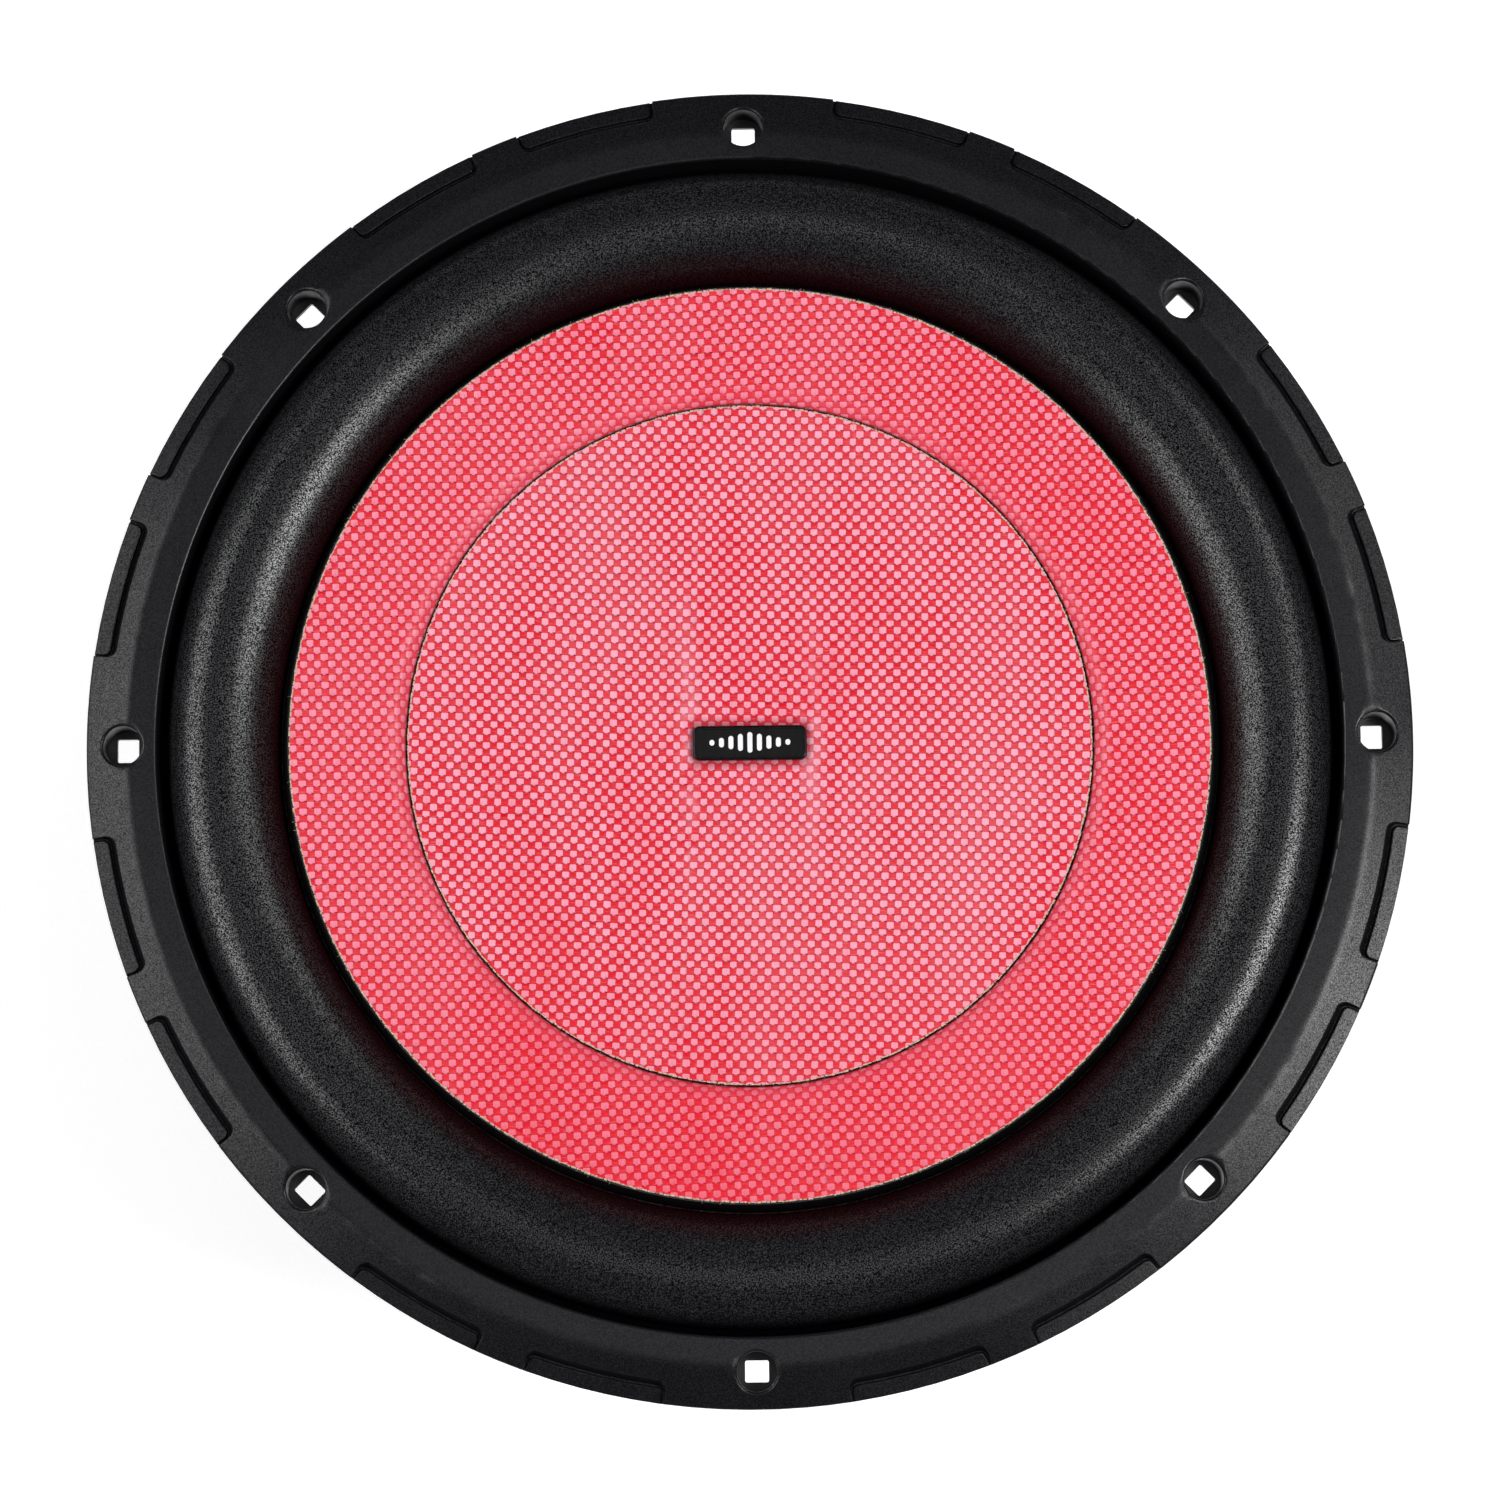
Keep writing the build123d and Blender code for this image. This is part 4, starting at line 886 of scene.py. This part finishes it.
def braid(points, radius, strands=6, lay=0.0065):
    """(verts, faces) of a braided lead: strands wound both ways that pass over and under."""
    parts = []
    thin = radius * 0.27
    run = [0.0]
    for a, b in zip(points, points[1:]):
        run.append(run[-1] + (b - a).length)
    side = None
    frames = []
    for k in range(len(points)):
        ahead = (points[min(k + 1, len(points) - 1)] - points[max(k - 1, 0)]).normalized()
        side = ahead.orthogonal() if side is None else side - ahead * side.dot(ahead)
        side.normalize()
        frames.append((side.copy(), ahead.cross(side)))
    for way in (1, -1):
        for s in range(strands):
            line = []
            for k, p in enumerate(points):
                a = way * (2 * math.pi * run[k] / lay) + 2 * math.pi * s / strands
                crossing = math.pi if way < 0 else 0
                over = math.cos(strands * 2 * math.pi * run[k] / lay + crossing + math.pi * s)
                r = radius - thin * (1.25 - 0.25 * over)
                line.append(p + (frames[k][0] * math.cos(a) + frames[k][1] * math.sin(a)) * r)
            parts.append(tube_along(line, thin, 5))
    parts.append(tube_along(points, radius * 0.62, 8))
    return joined(parts)


def leads():
    """The four woven leads."""
    number = 0
    for sign in (1, -1):
        for side in (1, -1):
            number += 1
            route = [Vector((sign * x, side * y, z)) for x, y, z in LEAD_ROUTE]
            piece = mesh_object(f"woven_lead_{number}", *braid(smooth_line(route), LEAD_R), M["tinsel"])
            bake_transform(piece)
            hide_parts(f"tinsel_lead_{number}")


def springs():
    """The button springs, each a coil of wire along its button's axis."""
    for side in ("right", "left"):
        for colour in ("red", "black"):
            node = frame["nodes"][f"button_spring_{colour}_{side}"]
            joint = next(j for j in frame["joints"] if j["name"] == f"{colour}_{side}_press")
            out = -Vector(joint["axis"]).normalized()
            co = [v.co for v in node.data.vertices]
            low = min(co, key=lambda p: p.dot(out))
            high = max(co, key=lambda p: p.dot(out))
            centre = sum(co, Vector()) / len(co)
            foot = centre + out * (low - centre).dot(out)
            height = (high - low).dot(out)
            across = Vector((0, 1, 0))
            other = out.cross(across)
            points = []
            for k in range(127):
                t = k / 126
                a = 2 * math.pi * SPRING_TURNS * t
                along = SPRING_WIRE_R + (height - 2 * SPRING_WIRE_R) * t
                points.append(foot + out * along + (across * math.cos(a) + other * math.sin(a)) * SPRING_R)
            coil = tube_along(points, SPRING_WIRE_R, 8)
            piece = mesh_object(f"coil_spring_{colour}_{side}", *coil, M["spring"])
            place(piece, "frame", "spring_steel", node.name)
            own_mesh(piece)


# ---------------------------------------------------------------- CAD nodes that keep their shape


def dress_all():
    """Gives each CAD node that stays visible its material."""
    plain = {
        "trim_ring": "ring",
        "basket": "basket",
        "basket_rivets": "zinc",
        "cone_body": "cone",
        "cap_adhesive": "bead",
        "badge_plate": "badge",
        "badge_bars": "silver",
        "voice_coil_former": "former",
        "former_collar": "paper",
        "lead_anchor_pads": "bead",
        "top_plate": "steel",
        "front_magnet": "ferrite",
        "rear_magnet": "ferrite",
        "pole_yoke": "steel",
        "vent_screen": "steel",
        "magnet_boot": "boot",
    }
    for side in ("right", "left"):
        plain[f"terminal_block_{side}"] = "plastic"
        plain[f"contact_strips_{side}"] = "contact"
        plain[f"terminal_screw_{side}"] = "zinc"
        for colour in ("red", "black"):
            plain[f"push_button_{colour}_{side}"] = colour
    for node, material in plain.items():
        piece = frame["nodes"][node]
        piece.data.materials.clear()
        piece.data.materials.append(M[material])


# ---------------------------------------------------------------- stage


def floor():
    """A wide plain floor just under the driver."""
    size, steps = 12.0, 4
    row = steps + 1
    ticks = [size * (k / steps - 0.5) for k in range(row)]
    verts = [(x, y, REST_Z - FLOOR_GAP) for x in ticks for y in ticks]
    faces = []
    for i in range(steps):
        for j in range(steps):
            start = i * row + j
            faces.append((start, start + row, start + row + 1, start + 1))
    mesh_object("floor", verts, faces, pale_floor())


def softbox(name, direction, distance, width, height, power):
    """A rectangular light that faces the driver's front."""
    light = bpy.data.lights.new(name, "AREA")
    light.shape = "RECTANGLE"
    light.size, light.size_y = width, height
    light.energy = power
    holder = bpy.data.objects.new(name, light)
    holder.location = Vector((0, 0, RING_TOP)) + Vector(direction).normalized() * distance
    holder.rotation_euler = (-Vector(direction)).to_track_quat("-Z", "Y").to_euler()
    bpy.context.scene.collection.objects.link(holder)


def studio():
    """Softboxes on the near right and at both sides, a weak one overhead, and air paler at the horizon."""
    for name, azimuth, lean, width, height, power in (
        ("near_right_softbox", -14, 37, 0.50, 0.62, 14.5),
        ("right_softbox", 30, 50, 0.45, 0.60, 2.6),
        ("left_softbox", 180, 48, 1.25, 0.90, 15.5),
    ):
        a, b = math.radians(azimuth), math.radians(lean)
        way = (math.cos(a) * math.sin(b), math.sin(a) * math.sin(b), math.cos(b))
        softbox(name, way, 1.5, width, height, power)
    softbox("overhead_fill", (0, 0, 1), 1.9, 0.8, 0.8, 1.3)
    world = bpy.data.worlds.new("studio_air")
    world.use_nodes = True
    tree = world.node_tree
    tree.nodes["Background"].inputs["Color"].default_value = (0.95, 0.97, 1.0, 1.0)
    kinds = ("TexCoord", "SeparateXYZ", "MapRange")
    coords, split, fade = (tree.nodes.new("ShaderNode" + kind) for kind in kinds)
    tree.links.new(coords.outputs["Generated"], split.inputs[0])
    tree.links.new(split.outputs["Z"], fade.inputs["Value"])
    tree.links.new(fade.outputs[0], tree.nodes["Background"].inputs["Strength"])
    for socket, value in zip(fade.inputs[1:5], (0.01, 0.10, 0.50, 0.05)):
        socket.default_value = value
    bpy.context.scene.world = world
    bpy.context.scene.view_settings.view_transform = "Standard"


def camera():
    """The camera, above the front and slightly towards -Y."""
    front = Vector((0, 0, RING_TOP))
    data = bpy.data.cameras.new("camera")
    data.lens, data.sensor_width = LENS, SENSOR
    data.clip_start, data.clip_end = 0.05, 20.0
    holder = bpy.data.objects.new("camera", data)
    bpy.context.scene.collection.objects.link(holder)
    holder.location = front + Vector((0, -CAMERA_BACK, CAMERA_RISE))
    aim = front + Vector((0, AIM_Y, 0)) - holder.location
    level = aim.to_track_quat("-Z", "Y")
    holder.rotation_mode = "QUATERNION"
    holder.rotation_quaternion = level @ Matrix.Rotation(-CAMERA_ROLL, 4, "Z").to_quaternion()
    bpy.context.scene.camera = holder


camera()
studio()
floor()
dress_all()
cone_facing()
cap()
surround()
bead()
spider()
badge()
windings()
leads()
springs()
